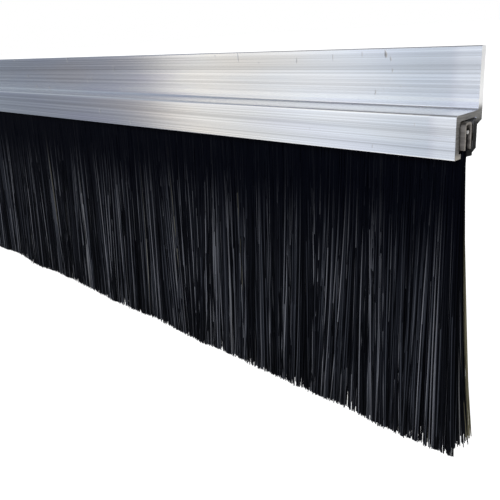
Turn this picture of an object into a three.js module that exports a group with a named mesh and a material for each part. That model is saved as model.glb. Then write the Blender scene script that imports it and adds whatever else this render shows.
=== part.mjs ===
// Door sweep: an aluminium holder that screws to the face of a door, with a strip brush hanging from its pocket.
// X runs along the sweep, -Y is the room side, +Y the door side, Z is up. The origin is on the door-side face of the
// flange, at mid-length and mid-height. Millimetres.
import * as THREE from "three";

// Driving dimensions
const LENGTH = 914; // a sweep for a 36 in door
const DEPTH = 18.2; // door face to front wall
const HEIGHT = 36.4; // underside of the front lip to the top of the flange
const FLANGE_BACK_HEIGHT = 24.9; // flat height that lies on the door
const FLANGE_THICK = 3;
const FRONT_HEIGHT = 15.2; // outside height of the front wall
const FRONT_WALL = 2.8;
const WEB_THICK = 2.3;
const POCKET_DEPTH = 9.4; // front wall to rear wall, inside
const REAR_WALL = 2.8;
const LIP_THICK = 1.9; // also the height where the rear wall starts to slope in
const FRONT_LIP = 1.6; // reach of the front lip into the pocket
const NECK = 3.2; // gap between the two lips
const EDGE_ROUND = 0.5;
const CEILING_CORNER = 1; // round between front wall and ceiling
const REAR_STEP = 2; // slope that widens the pocket under the ceiling
const REAR_CHAMFER = 1.3; // drop of the outside slope from flange back to rear wall
const REAR_LIP_RISE = 0.2; // how much higher the rear lip's top is than the front lip's
const REAR_LIP_SAG = 0.3; // how far its outer edge hangs below the front lip
const CORNER_CUT = 0.8; // flat across the pocket's lower rear corner
const ROOT_FILLET = 1.3; // fillet between web and flange

const CHANNEL_WIDTH = 4.6;
const CHANNEL_HEIGHT = 9.4;
const CHANNEL_STEEL = 0.9;
const CHANNEL_BEND = 1.5; // outside radius of its two upper bends
const CHANNEL_FRONT_GAP = 0.5; // clearance to the front wall
const CHANNEL_TOP_GAP = 0.4; // clearance to the pocket's ceiling
const STRIP_PROUD = 1.6; // how far the channel stands out of the holder's +X end
const BARE_END = 1.8; // length of channel without filaments at that end
const WIRE_RADIUS = 0.7;
const FOLD_GAP = 0.1; // between the filaments and the steel around them
const FOLD_THICK = 1.7; // filaments piled over the wire
const NECK_HALF = 0.9; // half thickness of the filaments between the lips
const ROOT_DROP = 1.5; // how far the folded part reaches below the lips

const TRIM = 116; // filament length below the holder
const SECTIONS = 12;
const SECTION_GAP = 0.3;
const SECTION_TOP = 2.2; // top of a hanging section, below the lips
const HALF_AT_TOP = 1.8; // half thickness of the brush where it leaves the holder
const HALF_AT_TIPS = 8.5; // half thickness where it ends
const END_FLARE = 8; // how far the end filaments spread past the strip's end
const FLARE_STEPS = 4;

// Places worked out from them. Y of the front wall's face is -DEPTH, Z of the lips' underside is BASE.
const FRONT = -DEPTH;
const BASE = FLANGE_BACK_HEIGHT / 2 - HEIGHT;
const TOP = BASE + HEIGHT;
const WEB_TOP = BASE + FRONT_HEIGHT;
const CEILING = WEB_TOP - WEB_THICK;
const POCKET_FRONT = FRONT + FRONT_WALL;
const POCKET_BACK = POCKET_FRONT + POCKET_DEPTH;
const CHANNEL_FRONT = POCKET_FRONT + CHANNEL_FRONT_GAP;
const CHANNEL_TOP = CEILING - CHANNEL_TOP_GAP;
const STRIP_MIDDLE = CHANNEL_FRONT + CHANNEL_WIDTH / 2;
const STRIP_START = STRIP_PROUD - LENGTH / 2;
const BRUSH_LENGTH = LENGTH - BARE_END;
const FOLD_TOP = CHANNEL_TOP - CHANNEL_STEEL - FOLD_GAP;
const WIRE_Z = FOLD_TOP - FOLD_THICK - WIRE_RADIUS;

const aluminium = new THREE.MeshStandardMaterial({ color: 0xc9ccd6, roughness: 0.38, metalness: 1 });
const steel = new THREE.MeshStandardMaterial({ color: 0x8a8682, roughness: 0.45, metalness: 1 });
const wire = new THREE.MeshStandardMaterial({ color: 0xa3a3a3, roughness: 0.35, metalness: 1 });
const nylon = new THREE.MeshStandardMaterial({ color: 0x101218, roughness: 0.5, metalness: 0 });

const sweep = new THREE.Group();
sweep.name = "door_sweep";

// A section drawn in (Y, Z) and run along X. The turn takes the shape's x, y and depth to Y, Z and X.
const ALONG_X = new THREE.Matrix4().makeBasis(
  new THREE.Vector3(0, 1, 0),
  new THREE.Vector3(0, 0, 1),
  new THREE.Vector3(1, 0, 0),
);

function addExtrusion(name, shape, material, xStart, length) {
  const geometry = new THREE.ExtrudeGeometry(shape, {
    depth: length,
    steps: 1,
    bevelEnabled: false,
    curveSegments: 6,
  });
  const mesh = new THREE.Mesh(geometry, material);
  mesh.name = name;
  mesh.quaternion.setFromRotationMatrix(ALONG_X);
  mesh.position.x = xStart;
  sweep.add(mesh);
}

// Rounds a corner at (y, z) that is left in direction (outY, outZ), entered along (inY, inZ); both are unit steps.
function roundCorner(shape, y, z, radius, inY, inZ, outY, outZ) {
  shape.lineTo(y - inY * radius, z - inZ * radius);
  shape.quadraticCurveTo(y, z, y + outY * radius, z + outZ * radius);
}

// The holder: flange, web, front wall with its lip, and the stepped rear wall with its lip.
function addHolder() {
  const flangeFront = -FLANGE_THICK;
  const rearOutside = POCKET_BACK + REAR_WALL;
  const chamferTop = TOP - FLANGE_BACK_HEIGHT;
  const lipFront = POCKET_FRONT + FRONT_LIP;
  const lipBack = lipFront + NECK;
  const lipTop = BASE + LIP_THICK;
  const rearLipTop = lipTop + REAR_LIP_RISE;
  const rearFoot = POCKET_BACK + REAR_LIP_RISE;
  const shape = new THREE.Shape();
  shape.moveTo(lipFront - EDGE_ROUND, BASE);
  roundCorner(shape, lipFront, BASE, EDGE_ROUND, 1, 0, 0, 1);
  roundCorner(shape, lipFront, lipTop, EDGE_ROUND, 0, 1, -1, 0);
  roundCorner(shape, POCKET_FRONT, lipTop, EDGE_ROUND, -1, 0, 0, 1);
  roundCorner(shape, POCKET_FRONT, CEILING, CEILING_CORNER, 0, 1, 1, 0);
  shape.lineTo(POCKET_BACK + REAR_STEP, CEILING);
  shape.lineTo(POCKET_BACK, CEILING - REAR_STEP);
  shape.lineTo(POCKET_BACK, rearLipTop + CORNER_CUT);
  shape.lineTo(POCKET_BACK - CORNER_CUT, rearLipTop);
  roundCorner(shape, lipBack, rearLipTop, EDGE_ROUND, -1, 0, 0, -1);
  shape.lineTo(lipBack, BASE);
  shape.lineTo(rearFoot, BASE - REAR_LIP_SAG);
  shape.lineTo(rearFoot, BASE + CORNER_CUT);
  shape.lineTo(rearOutside, lipTop);
  shape.lineTo(rearOutside, chamferTop - REAR_CHAMFER);
  shape.lineTo(0, chamferTop);
  roundCorner(shape, 0, TOP, EDGE_ROUND, 0, 1, -1, 0);
  roundCorner(shape, flangeFront, TOP, EDGE_ROUND, -1, 0, 0, -1);
  roundCorner(shape, flangeFront, WEB_TOP, ROOT_FILLET, 0, -1, -1, 0);
  roundCorner(shape, FRONT, WEB_TOP, EDGE_ROUND, -1, 0, 0, -1);
  roundCorner(shape, FRONT, BASE, EDGE_ROUND, 0, -1, 1, 0);
  addExtrusion("holder", shape, aluminium, -LENGTH / 2, LENGTH);
}

// One side-to-side arch of the channel: up the front leg, over the top and down the rear leg.
function archPath(path, halfWidth, top, bottom, bend) {
  const front = STRIP_MIDDLE - halfWidth;
  const back = STRIP_MIDDLE + halfWidth;
  path.lineTo(front, bottom);
  roundCorner(path, front, top, bend, 0, 1, 1, 0);
  roundCorner(path, back, top, bend, 1, 0, 0, -1);
  path.lineTo(back, bottom);
}

// The folded steel channel: outside arch, then back along the inside.
function addChannel() {
  const half = CHANNEL_WIDTH / 2;
  const inside = half - CHANNEL_STEEL;
  const bottom = CHANNEL_TOP - CHANNEL_HEIGHT;
  const innerBend = CHANNEL_BEND - CHANNEL_STEEL;
  const shape = new THREE.Shape();
  shape.moveTo(STRIP_MIDDLE + inside, bottom);
  shape.lineTo(STRIP_MIDDLE + inside, CHANNEL_TOP - CHANNEL_STEEL - innerBend);
  shape.quadraticCurveTo(
    STRIP_MIDDLE + inside, CHANNEL_TOP - CHANNEL_STEEL,
    STRIP_MIDDLE + inside - innerBend, CHANNEL_TOP - CHANNEL_STEEL,
  );
  roundCorner(shape, STRIP_MIDDLE - inside, CHANNEL_TOP - CHANNEL_STEEL, innerBend, -1, 0, 0, -1);
  shape.lineTo(STRIP_MIDDLE - inside, bottom);
  archPath(shape, half, CHANNEL_TOP, bottom, CHANNEL_BEND);
  addExtrusion("brush_channel", shape, steel, STRIP_START, LENGTH);
}

// The wire that the filaments are folded over.
function addCoreWire() {
  const mesh = new THREE.Mesh(new THREE.CylinderGeometry(WIRE_RADIUS, WIRE_RADIUS, LENGTH, 12), wire);
  mesh.name = "core_wire";
  mesh.rotation.z = Math.PI / 2;
  mesh.position.set(STRIP_PROUD, STRIP_MIDDLE, WIRE_Z);
  sweep.add(mesh);
}

// The folded filaments inside the channel: a block that surrounds the wire and reaches down past the lips.
function addFilamentRoot() {
  const half = CHANNEL_WIDTH / 2 - CHANNEL_STEEL - FOLD_GAP;
  const bend = half * 0.9;
  const shoulder = CHANNEL_TOP - CHANNEL_HEIGHT;
  const bottom = BASE - ROOT_DROP;
  const shape = new THREE.Shape();
  shape.moveTo(STRIP_MIDDLE + NECK_HALF, bottom);
  shape.lineTo(STRIP_MIDDLE + NECK_HALF, shoulder - 0.3);
  shape.lineTo(STRIP_MIDDLE + half, shoulder + 0.3);
  roundCorner(shape, STRIP_MIDDLE + half, FOLD_TOP, bend, 0, 1, -1, 0);
  roundCorner(shape, STRIP_MIDDLE - half, FOLD_TOP, bend, -1, 0, 0, -1);
  shape.lineTo(STRIP_MIDDLE - half, shoulder + 0.3);
  shape.lineTo(STRIP_MIDDLE - NECK_HALF, shoulder - 0.3);
  shape.lineTo(STRIP_MIDDLE - NECK_HALF, bottom);
  const aroundWire = new THREE.Path();
  aroundWire.absarc(STRIP_MIDDLE, WIRE_Z, WIRE_RADIUS + FOLD_GAP, 0, Math.PI * 2, true);
  shape.holes.push(aroundWire);
  addExtrusion("filament_root", shape, nylon, STRIP_START, BRUSH_LENGTH);
}

// One hanging section of the curtain: a wedge that thickens towards the tips. leftFlare and rightFlare spread its
// outer sides, in a curve, where it is the first or the last.
function addBristleSection(index) {
  const pitch = BRUSH_LENGTH / SECTIONS;
  const left = STRIP_START + pitch * index + SECTION_GAP / 2;
  const right = left + pitch - SECTION_GAP;
  const leftFlare = index === 0 ? END_FLARE : 0;
  const rightFlare = index === SECTIONS - 1 ? END_FLARE : 0;
  const drop = TRIM - SECTION_TOP;
  const geometry = new THREE.BoxGeometry(1, 1, 1, 1, 1, FLARE_STEPS);
  const corners = geometry.getAttribute("position");
  for (let i = 0; i < corners.count; i += 1) {
    const down = 0.5 - corners.getZ(i);
    const half = HALF_AT_TOP + (HALF_AT_TIPS - HALF_AT_TOP) * down;
    const x = corners.getX(i) < 0 ? left - leftFlare * down ** 2 : right + rightFlare * down ** 2;
    corners.setXYZ(i, x, STRIP_MIDDLE + corners.getY(i) * 2 * half, BASE - SECTION_TOP - drop * down);
  }
  const mesh = new THREE.Mesh(geometry, nylon);
  mesh.name = `bristle_section_${String(index + 1).padStart(2, "0")}`;
  sweep.add(mesh);
}

addHolder();
addChannel();
addCoreWire();
addFilamentRoot();
for (let index = 0; index < SECTIONS; index += 1) {
  addBristleSection(index);
}

export default sweep;
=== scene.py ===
import math

import bmesh
import bpy
import numpy as np
from mathutils import Euler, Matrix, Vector, noise


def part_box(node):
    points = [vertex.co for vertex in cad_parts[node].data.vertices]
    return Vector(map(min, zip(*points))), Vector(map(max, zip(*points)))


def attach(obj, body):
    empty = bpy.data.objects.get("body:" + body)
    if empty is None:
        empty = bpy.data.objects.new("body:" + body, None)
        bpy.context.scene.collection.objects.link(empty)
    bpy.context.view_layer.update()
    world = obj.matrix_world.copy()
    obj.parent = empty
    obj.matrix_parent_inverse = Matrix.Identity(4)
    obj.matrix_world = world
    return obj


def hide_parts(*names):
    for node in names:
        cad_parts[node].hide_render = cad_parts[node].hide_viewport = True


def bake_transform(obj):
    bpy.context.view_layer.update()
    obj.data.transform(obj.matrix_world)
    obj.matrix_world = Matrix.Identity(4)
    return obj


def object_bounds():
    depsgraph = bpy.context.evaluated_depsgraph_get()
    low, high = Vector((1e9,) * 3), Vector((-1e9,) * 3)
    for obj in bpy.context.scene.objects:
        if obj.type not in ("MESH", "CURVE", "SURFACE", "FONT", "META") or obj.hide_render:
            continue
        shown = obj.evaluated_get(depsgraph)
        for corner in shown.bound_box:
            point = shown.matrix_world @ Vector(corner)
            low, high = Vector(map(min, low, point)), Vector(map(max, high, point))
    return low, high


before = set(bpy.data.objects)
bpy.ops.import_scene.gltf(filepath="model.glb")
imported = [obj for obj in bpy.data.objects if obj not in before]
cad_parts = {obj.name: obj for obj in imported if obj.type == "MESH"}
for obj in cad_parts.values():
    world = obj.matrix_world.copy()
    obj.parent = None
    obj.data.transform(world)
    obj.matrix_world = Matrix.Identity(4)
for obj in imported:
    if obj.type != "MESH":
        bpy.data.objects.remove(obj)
cad_low, cad_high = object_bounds()


# ---------------------------------------------------------------------------------------------
# Studio. A plain pale floor just clear of the brush tips, a soft surround that is dim far to the
# left and bright elsewhere, a white backdrop and two soft lights. None of it is the part.
# ---------------------------------------------------------------------------------------------
scene = bpy.context.scene
scene.view_settings.view_transform = "Standard"

camera_data = bpy.data.cameras.new("camera")
camera_data.sensor_width = 36.0
camera_data.lens = 44.085
camera_data.clip_start = 0.005
camera_data.clip_end = 60.0
camera = bpy.data.objects.new("camera", camera_data)
camera.location = (0.55731, -0.20892, 0.02368)
camera.rotation_euler = Euler(
    (math.radians(69.914), math.radians(3.848), math.radians(45.631)), "XYZ"
)
scene.collection.objects.link(camera)
scene.camera = camera

FLOOR_HALF = 9.0
FLOOR_GAP = 0.0075  # room for the longest tips, which hang a little below the brush's solid
floor_height = cad_low.z - FLOOR_GAP

floor_mesh = bpy.data.meshes.new("floor")
floor_mesh.from_pydata(
    [
        (-FLOOR_HALF, -FLOOR_HALF, floor_height),
        (FLOOR_HALF, -FLOOR_HALF, floor_height),
        (FLOOR_HALF, FLOOR_HALF, floor_height),
        (-FLOOR_HALF, FLOOR_HALF, floor_height),
    ],
    [],
    [(0, 1, 2, 3)],
)
floor = bpy.data.objects.new("floor", floor_mesh)
floor.visible_glossy = False
scene.collection.objects.link(floor)

floor_paper = bpy.data.materials.new("studio_paper")
floor_paper.use_nodes = True
tree = floor_paper.node_tree
tree.nodes.clear()
out = tree.nodes.new("ShaderNodeOutputMaterial")
out.label, out.location = "Paper", (300, 0)
paper = tree.nodes.new("ShaderNodeBsdfPrincipled")
paper.label, paper.location = "Matt pale paper", (0, 0)
paper.inputs["Base Color"].default_value = (0.30, 0.30, 0.30, 1)
paper.inputs["Roughness"].default_value = 0.9
paper.inputs["Specular IOR Level"].default_value = 0.1
paper.inputs["Emission Color"].default_value = (1, 1, 1, 1)
paper.inputs["Emission Strength"].default_value = 1.0
tree.links.new(paper.outputs["BSDF"], out.inputs["Surface"])
floor_mesh.materials.append(floor_paper)

world = bpy.data.worlds.new("surround")
scene.world = world
world.use_nodes = True
tree = world.node_tree
tree.nodes.clear()

ray = tree.nodes.new("ShaderNodeTexCoord")
ray.label, ray.location = "Direction", (-1200, 0)
split = tree.nodes.new("ShaderNodeSeparateXYZ")
split.label, split.location = "Split direction", (-1020, 0)
across = tree.nodes.new("ShaderNodeMath")
across.label, across.location = "Toward the left", (-840, 80)
across.operation = "MULTIPLY"
across.inputs[1].default_value = -1.0
ahead = tree.nodes.new("ShaderNodeMath")
ahead.label, ahead.location = "Toward the front", (-840, -80)
ahead.operation = "MULTIPLY"
ahead.inputs[1].default_value = -1.0
bearing = tree.nodes.new("ShaderNodeMath")
bearing.label, bearing.location = "Bearing from the front", (-660, 0)
bearing.operation = "ARCTAN2"
turn = tree.nodes.new("ShaderNodeMath")
turn.label, turn.location = "Bearing as part of a turn", (-480, 0)
turn.operation = "MULTIPLY_ADD"
turn.inputs[1].default_value = 1 / (2 * math.pi)
turn.inputs[2].default_value = 0.5
walls = tree.nodes.new("ShaderNodeValToRGB")
walls.label, walls.location = "Brightness round the studio", (-300, 0)
# bearing in degrees from the front, positive to the left, and the colour of the surround there
surround = [
    (-180, (0.80, 0.80, 0.81)),
    (-165, (1.05, 1.05, 1.05)),
    (-125, (1.05, 1.05, 1.05)),
    (-80, (0.60, 0.61, 0.63)),
    (-40, (0.74, 0.78, 0.86)),
    (18, (0.74, 0.78, 0.85)),
    (25, (0.66, 0.69, 0.77)),
    (31, (0.58, 0.64, 0.72)),
    (37, (0.82, 0.86, 0.92)),
    (42, (0.84, 0.87, 0.91)),
    (47, (0.80, 0.80, 0.79)),
    (52, (1.00, 0.96, 0.89)),
    (54, (0.86, 0.81, 0.75)),
    (55, (0.42, 0.42, 0.46)),
    (58, (0.31, 0.32, 0.37)),
    (66, (0.22, 0.24, 0.29)),
    (72, (0.30, 0.34, 0.39)),
    (120, (0.30, 0.31, 0.35)),
    (150, (0.42, 0.42, 0.43)),
    (180, (0.80, 0.80, 0.81)),
]
while len(walls.color_ramp.elements) < len(surround):
    walls.color_ramp.elements.new(0.5)
for stop, (degrees, colour) in zip(walls.color_ramp.elements, surround):
    stop.position = degrees / 360 + 0.5
    stop.color = (*colour, 1)
height = tree.nodes.new("ShaderNodeValToRGB")
height.label, height.location = "Share of bright ground", (-300, -260)
height.color_ramp.interpolation = "EASE"
height.color_ramp.elements[0].position = 0.12
height.color_ramp.elements[0].color = (0.9, 0.9, 0.9, 1)
height.color_ramp.elements[1].position = 0.30
height.color_ramp.elements[1].color = (0, 0, 0, 1)
upward = tree.nodes.new("ShaderNodeMath")
upward.label, upward.location = "Height as a share", (-480, -260)
upward.operation = "MULTIPLY_ADD"
upward.inputs[1].default_value = 0.5
upward.inputs[2].default_value = 0.5
dim = tree.nodes.new("ShaderNodeValToRGB")
dim.label, dim.location = "Brighter above the horizon, dimmer overhead", (-300, -520)
dim.color_ramp.elements[0].position = 0.52
dim.color_ramp.elements[0].color = (1, 1, 1, 1)
dim.color_ramp.elements[1].position = 0.97
dim.color_ramp.elements[1].color = (0.34, 0.34, 0.34, 1)
for position, share in ((0.66, 1.25), (0.80, 1.30), (0.90, 0.45)):
    dim.color_ramp.elements.new(position).color = (share, share, share, 1)
dimmed = tree.nodes.new("ShaderNodeMix")
dimmed.label, dimmed.location = "Walls by height", (-150, 140)
dimmed.data_type = "RGBA"
dimmed.blend_type = "MULTIPLY"
dimmed.inputs["Factor"].default_value = 1.0
ground = tree.nodes.new("ShaderNodeMix")
ground.label, ground.location = "Bright ground below", (0, 0)
ground.data_type = "RGBA"
ground.inputs["B"].default_value = (1.0, 1.0, 1.0, 1)
lit = tree.nodes.new("ShaderNodeBackground")
lit.label, lit.location = "Surround", (180, 0)
lit.inputs["Strength"].default_value = 1.0
white = tree.nodes.new("ShaderNodeBackground")
white.label, white.location = "White backdrop", (180, -140)
white.inputs["Color"].default_value = (1, 1, 1, 1)
seen = tree.nodes.new("ShaderNodeLightPath")
seen.label, seen.location = "Seen directly", (180, 260)
which = tree.nodes.new("ShaderNodeMixShader")
which.label, which.location = "Backdrop or surround", (380, 0)
out = tree.nodes.new("ShaderNodeOutputWorld")
out.label, out.location = "World", (560, 0)
tree.links.new(ray.outputs["Generated"], split.inputs["Vector"])
tree.links.new(split.outputs["X"], across.inputs[0])
tree.links.new(split.outputs["Y"], ahead.inputs[0])
tree.links.new(across.outputs["Value"], bearing.inputs[0])
tree.links.new(ahead.outputs["Value"], bearing.inputs[1])
tree.links.new(bearing.outputs["Value"], turn.inputs[0])
tree.links.new(turn.outputs["Value"], walls.inputs["Fac"])
tree.links.new(split.outputs["Z"], upward.inputs[0])
tree.links.new(upward.outputs["Value"], height.inputs["Fac"])
tree.links.new(height.outputs["Color"], ground.inputs["Factor"])
tree.links.new(upward.outputs["Value"], dim.inputs["Fac"])
tree.links.new(walls.outputs["Color"], dimmed.inputs["A"])
tree.links.new(dim.outputs["Color"], dimmed.inputs["B"])
tree.links.new(dimmed.outputs["Result"], ground.inputs["A"])
tree.links.new(ground.outputs["Result"], lit.inputs["Color"])
tree.links.new(seen.outputs["Is Camera Ray"], which.inputs["Fac"])
tree.links.new(lit.outputs["Background"], which.inputs[1])
tree.links.new(white.outputs["Background"], which.inputs[2])
tree.links.new(which.outputs["Shader"], out.inputs["Surface"])


def soft_light(name, place, aim, size, power, colour):
    """A square softbox at place, turned to face aim."""
    data = bpy.data.lights.new(name, "AREA")
    data.shape = "SQUARE"
    data.size = size
    data.energy = power
    data.color = colour
    light = bpy.data.objects.new(name, data)
    light.location = place
    away = light.location - Vector(aim)
    light.rotation_euler = away.to_track_quat("Z", "Y").to_euler()
    light.visible_glossy = False
    scene.collection.objects.link(light)


soft_light("key", (0.85, -1.5, 1.1), (0.25, 0.0, -0.05), 0.45, 8.0, (1.0, 0.98, 0.95))
soft_light("fill", (-1.2, -1.2, 1.4), (0.0, 0.0, -0.08), 0.9, 3.0, (0.95, 0.97, 1.0))


# ---------------------------------------------------------------------------------------------
# Holder. One length of mill-finish extruded aluminium with an h-shaped section: a flange that is
# screwed to the door, a ledge, and a pocket with two lips. It is sawn to length, which leaves
# a rough cut face and a small burr, and the die leaves fine lines along it.
# ---------------------------------------------------------------------------------------------
OUTLINE_STEP = 0.00045
STATION_STEP = 0.011
COARSE_TEETH = 900  # the saw's marks round a cut edge, in a metre
FINE_TEETH = 2600
FINE_TEETH_SHARE = 0.7
END_APART = 50  # keeps the two ends' marks unlike each other
CUT_EDGE_SHARE = 0.6  # how much of the broken edge lies below the skin
BURR_FROM = 0.12  # only marks above this raise a burr


def end_outline(node):
    """The (y, z) corners of a CAD extrusion's +X end, in order round it, anticlockwise from +X."""
    shell = bmesh.new()
    shell.from_mesh(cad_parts[node].data)
    bmesh.ops.remove_doubles(shell, verts=shell.verts, dist=1e-6)
    far = max(v.co.x for v in shell.verts) - 1e-6
    after = {}
    for face in shell.faces:
        if all(v.co.x > far for v in face.verts):
            continue
        for loop in face.loops:
            a, b = loop.vert, loop.link_loop_next.vert
            if a.co.x > far and b.co.x > far:
                after[b] = a
    first = next(iter(after))
    ring = [first]
    while after[ring[-1]] is not first:
        ring.append(after[ring[-1]])
    outline = [(v.co.y, v.co.z) for v in ring]
    shell.free()
    area = sum(
        a[0] * b[1] - b[0] * a[1] for a, b in zip(outline, outline[1:] + outline[:1])
    )
    return outline if area > 0 else outline[::-1]


def rounder_corner(outline, corner, radius):
    """The outline with the convex upper front corner rounded to a larger radius."""
    kept = [p for p in outline if max(abs(p[0] - corner[0]), abs(p[1] - corner[1])) > radius]
    before = next(i for i, p in enumerate(kept) if p[1] >= corner[1] - 1e-6 and p[0] < 0
                  and kept[(i + 1) % len(kept)][1] < corner[1] - 1e-6)
    arc = [
        (
            corner[0] + radius - radius * math.sin(a),
            corner[1] - radius + radius * math.cos(a),
        )
        for a in np.linspace(0, math.pi / 2, 9)
    ]
    return kept[: before + 1] + arc + kept[before + 1 :]


def finer_outline(outline, step):
    """The outline with points no further apart than step, and the outward direction at each."""
    points = []
    for a, b in zip(outline, outline[1:] + outline[:1]):
        parts = max(1, math.ceil(math.dist(a, b) / step))
        points += [
            (a[0] + (b[0] - a[0]) * i / parts, a[1] + (b[1] - a[1]) * i / parts)
            for i in range(parts)
        ]
    points = np.array(points)
    along = np.roll(points, -1, axis=0) - np.roll(points, 1, axis=0)
    outward = np.stack([along[:, 1], -along[:, 0]], axis=1)
    outward /= np.linalg.norm(outward, axis=1)[:, None]
    return points, outward


def sawn_length(name, node, outline, step, line_depth, burr, cut_edge, seed):
    """A CAD extrusion drawn again with die lines in its skin and a sawn, burred edge at each end."""
    points, outward = finer_outline(outline, step)
    count = len(points)
    low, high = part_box(node)
    draw = np.random.default_rng(seed)
    fine = draw.normal(0, 1, count)
    broad = np.convolve(np.tile(draw.normal(0, 1, count), 3), np.ones(5) / 5, "same")
    lines = line_depth * (0.5 * fine + 1.2 * broad[count : 2 * count])
    spans = max(2, round((high[0] - low[0]) / STATION_STEP))
    inner = np.linspace(low[0] + cut_edge, high[0] - cut_edge, spans + 1)
    stations = [low[0], *inner, high[0]]
    verts = []
    for k, x in enumerate(stations):
        at_cut = k in (0, len(stations) - 1)
        if at_cut:
            end = x * END_APART + seed
            ragged = np.array(
                [
                    noise.noise((y * COARSE_TEETH, z * COARSE_TEETH, end))
                    + FINE_TEETH_SHARE * noise.noise((y * FINE_TEETH, z * FINE_TEETH, end))
                    for y, z in points
                ]
            )
            offset = -CUT_EDGE_SHARE * cut_edge + burr * np.clip(ragged - BURR_FROM, 0, 1)
        else:
            drift = noise.noise((x * 9, seed, 0)) * 0.4 + 1
            offset = lines * drift
        ring = points + outward * np.reshape(offset, (-1, 1))
        verts += [(x, y, z) for y, z in ring]
    faces = []
    for k in range(len(stations) - 1):
        a, b = k * count, (k + 1) * count
        for i in range(count):
            j = (i + 1) % count
            faces.append((a + i, a + j, b + j, b + i))
    last = (len(stations) - 1) * count
    faces.append(tuple(range(count))[::-1])
    faces.append(tuple(range(last, last + count)))
    mesh = bpy.data.meshes.new(name)
    mesh.from_pydata(verts, [], faces)
    shape = bmesh.new()
    shape.from_mesh(mesh)
    shape.faces.ensure_lookup_table()
    bmesh.ops.recalc_face_normals(shape, faces=shape.faces)
    ends = [shape.faces[-2], shape.faces[-1]]
    for face in shape.faces:
        face.smooth = True
    for face in ends:
        face.smooth = False
        for edge in face.edges:
            edge.smooth = False
    bmesh.ops.triangulate(shape, faces=ends)
    shape.to_mesh(mesh)
    shape.free()
    piece = bpy.data.objects.new(name, mesh)
    scene.collection.objects.link(piece)
    return piece


HOLDER_TOP_FRONT_RADIUS = 0.0011
FLANGE_FOOT = 0.0152  # the ledge's top, where the flange begins, above the lips' underside
holder_low, holder_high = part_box("holder")
HOLDER_BOTTOM = float(holder_low[2])
LEDGE_CORNER = (-0.0182, -0.00875)  # y and z where the ledge's top would meet the front face
holder = sawn_length(
    "aluminium_holder",
    "holder",
    rounder_corner(end_outline("holder"), LEDGE_CORNER, HOLDER_TOP_FRONT_RADIUS),
    step=OUTLINE_STEP,
    line_depth=0.000006,
    burr=0.00022,
    cut_edge=0.00016,
    seed=4,
)

HOLDER_HALF = float(holder_high[0])
FRONT_WALL = 0.0028
POCKET_DEPTH = 0.0094
POCKET_STEP = 0.0024  # the rear wall leans back by this much under the ceiling
LIP_HEIGHT = 0.0019
CEILING_HEIGHT = 0.0129  # the pocket's ceiling above the lips' underside
POCKET_FRONT = float(holder_low[1]) + FRONT_WALL
POCKET_REAR = POCKET_FRONT + POCKET_DEPTH
POCKET_TOP = HOLDER_BOTTOM + CEILING_HEIGHT
POCKET_BOTTOM = HOLDER_BOTTOM + LIP_HEIGHT
# painted reflection: how bright the skin is painted at a share of the way up the section, brighter
# at the lip edge and the flange foot
SECTION_PAINTED_LIGHT = (
    (0.0, 1.16),
    (0.035, 0.98),
    (0.375, 0.98),
    (0.405, 1.20),
    (0.44, 1.14),
    (0.56, 1.10),
    (0.68, 0.98),
    (1.0, 0.97),
)
SKIN = 0.00006
CUT_FACE_SKIN = 0.00001
# where the sawn end's painted shadow at the rear, painted highlight on the flange and painted
# highlight on the lip begin and how softly they do
PAINTED_SHADOW_FROM = 0.003
PAINTED_SHADOW_FULL = 0.0052
FLANGE_LIT_OVER = 0.003
EDGE_FADE = 0.001
# a painted dark reflection line on the ledge, just behind its rounded front edge, by its distance
# behind the front corner, half width and depth
PAINTED_LINE_BACK = 0.0015
PAINTED_LINE_HALF = 0.00035
PAINTED_LINE_REACH = 0.0003

mill = bpy.data.materials.new("mill_aluminium")
mill.use_nodes = True
tree = mill.node_tree
tree.nodes.clear()

place = tree.nodes.new("ShaderNodeTexCoord")
place.label, place.location = "Place on the extrusion", (-1900, 0)

die_frame = tree.nodes.new("NodeFrame")
die_frame.label = "Die lines"
die_fine = tree.nodes.new("ShaderNodeMapping")
die_fine.label, die_fine.location = "Fine lines, long in X", (-1600, 500)
die_fine.inputs["Scale"].default_value = (2.5, 1500, 1500)
die_fine_noise = tree.nodes.new("ShaderNodeTexNoise")
die_fine_noise.label, die_fine_noise.location = "Fine die lines", (-1400, 500)
die_fine_noise.inputs["Scale"].default_value = 1.0
die_fine_noise.inputs["Detail"].default_value = 3.0
die_fine_noise.inputs["Roughness"].default_value = 0.6
die_broad = tree.nodes.new("ShaderNodeMapping")
die_broad.label, die_broad.location = "Broad bands, longer in X", (-1600, 220)
die_broad.inputs["Scale"].default_value = (0.8, 290, 290)
die_broad_noise = tree.nodes.new("ShaderNodeTexNoise")
die_broad_noise.label, die_broad_noise.location = "Broad die bands", (-1400, 220)
die_broad_noise.inputs["Scale"].default_value = 1.0
die_broad_noise.inputs["Detail"].default_value = 5.0
die_broad_noise.inputs["Roughness"].default_value = 0.72
for node in (die_fine, die_fine_noise, die_broad, die_broad_noise):
    node.parent = die_frame

tint_frame = tree.nodes.new("NodeFrame")
tint_frame.label = "Oxide tint"
tint_map = tree.nodes.new("ShaderNodeMapping")
tint_map.label, tint_map.location = "Stretch of the tint", (-1600, -60)
tint_map.inputs["Scale"].default_value = (9, 60, 60)
tint_noise = tree.nodes.new("ShaderNodeTexNoise")
tint_noise.label, tint_noise.location = "Uneven oxide", (-1400, -60)
tint_noise.inputs["Scale"].default_value = 1.0
tint_noise.inputs["Detail"].default_value = 3.0
tint_ramp = tree.nodes.new("ShaderNodeValToRGB")
tint_ramp.label, tint_ramp.location = "Cool to violet to warm", (-1200, -60)
tint_ramp.color_ramp.elements[0].position = 0.32
tint_ramp.color_ramp.elements[0].color = (0.84, 0.85, 0.93, 1)
tint_ramp.color_ramp.elements[1].position = 0.70
tint_ramp.color_ramp.elements[1].color = (0.93, 0.91, 0.89, 1)
middle = tint_ramp.color_ramp.elements.new(0.5)
middle.color = (0.89, 0.91, 0.94, 1)
for node in (tint_map, tint_noise, tint_ramp):
    node.parent = tint_frame

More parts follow.
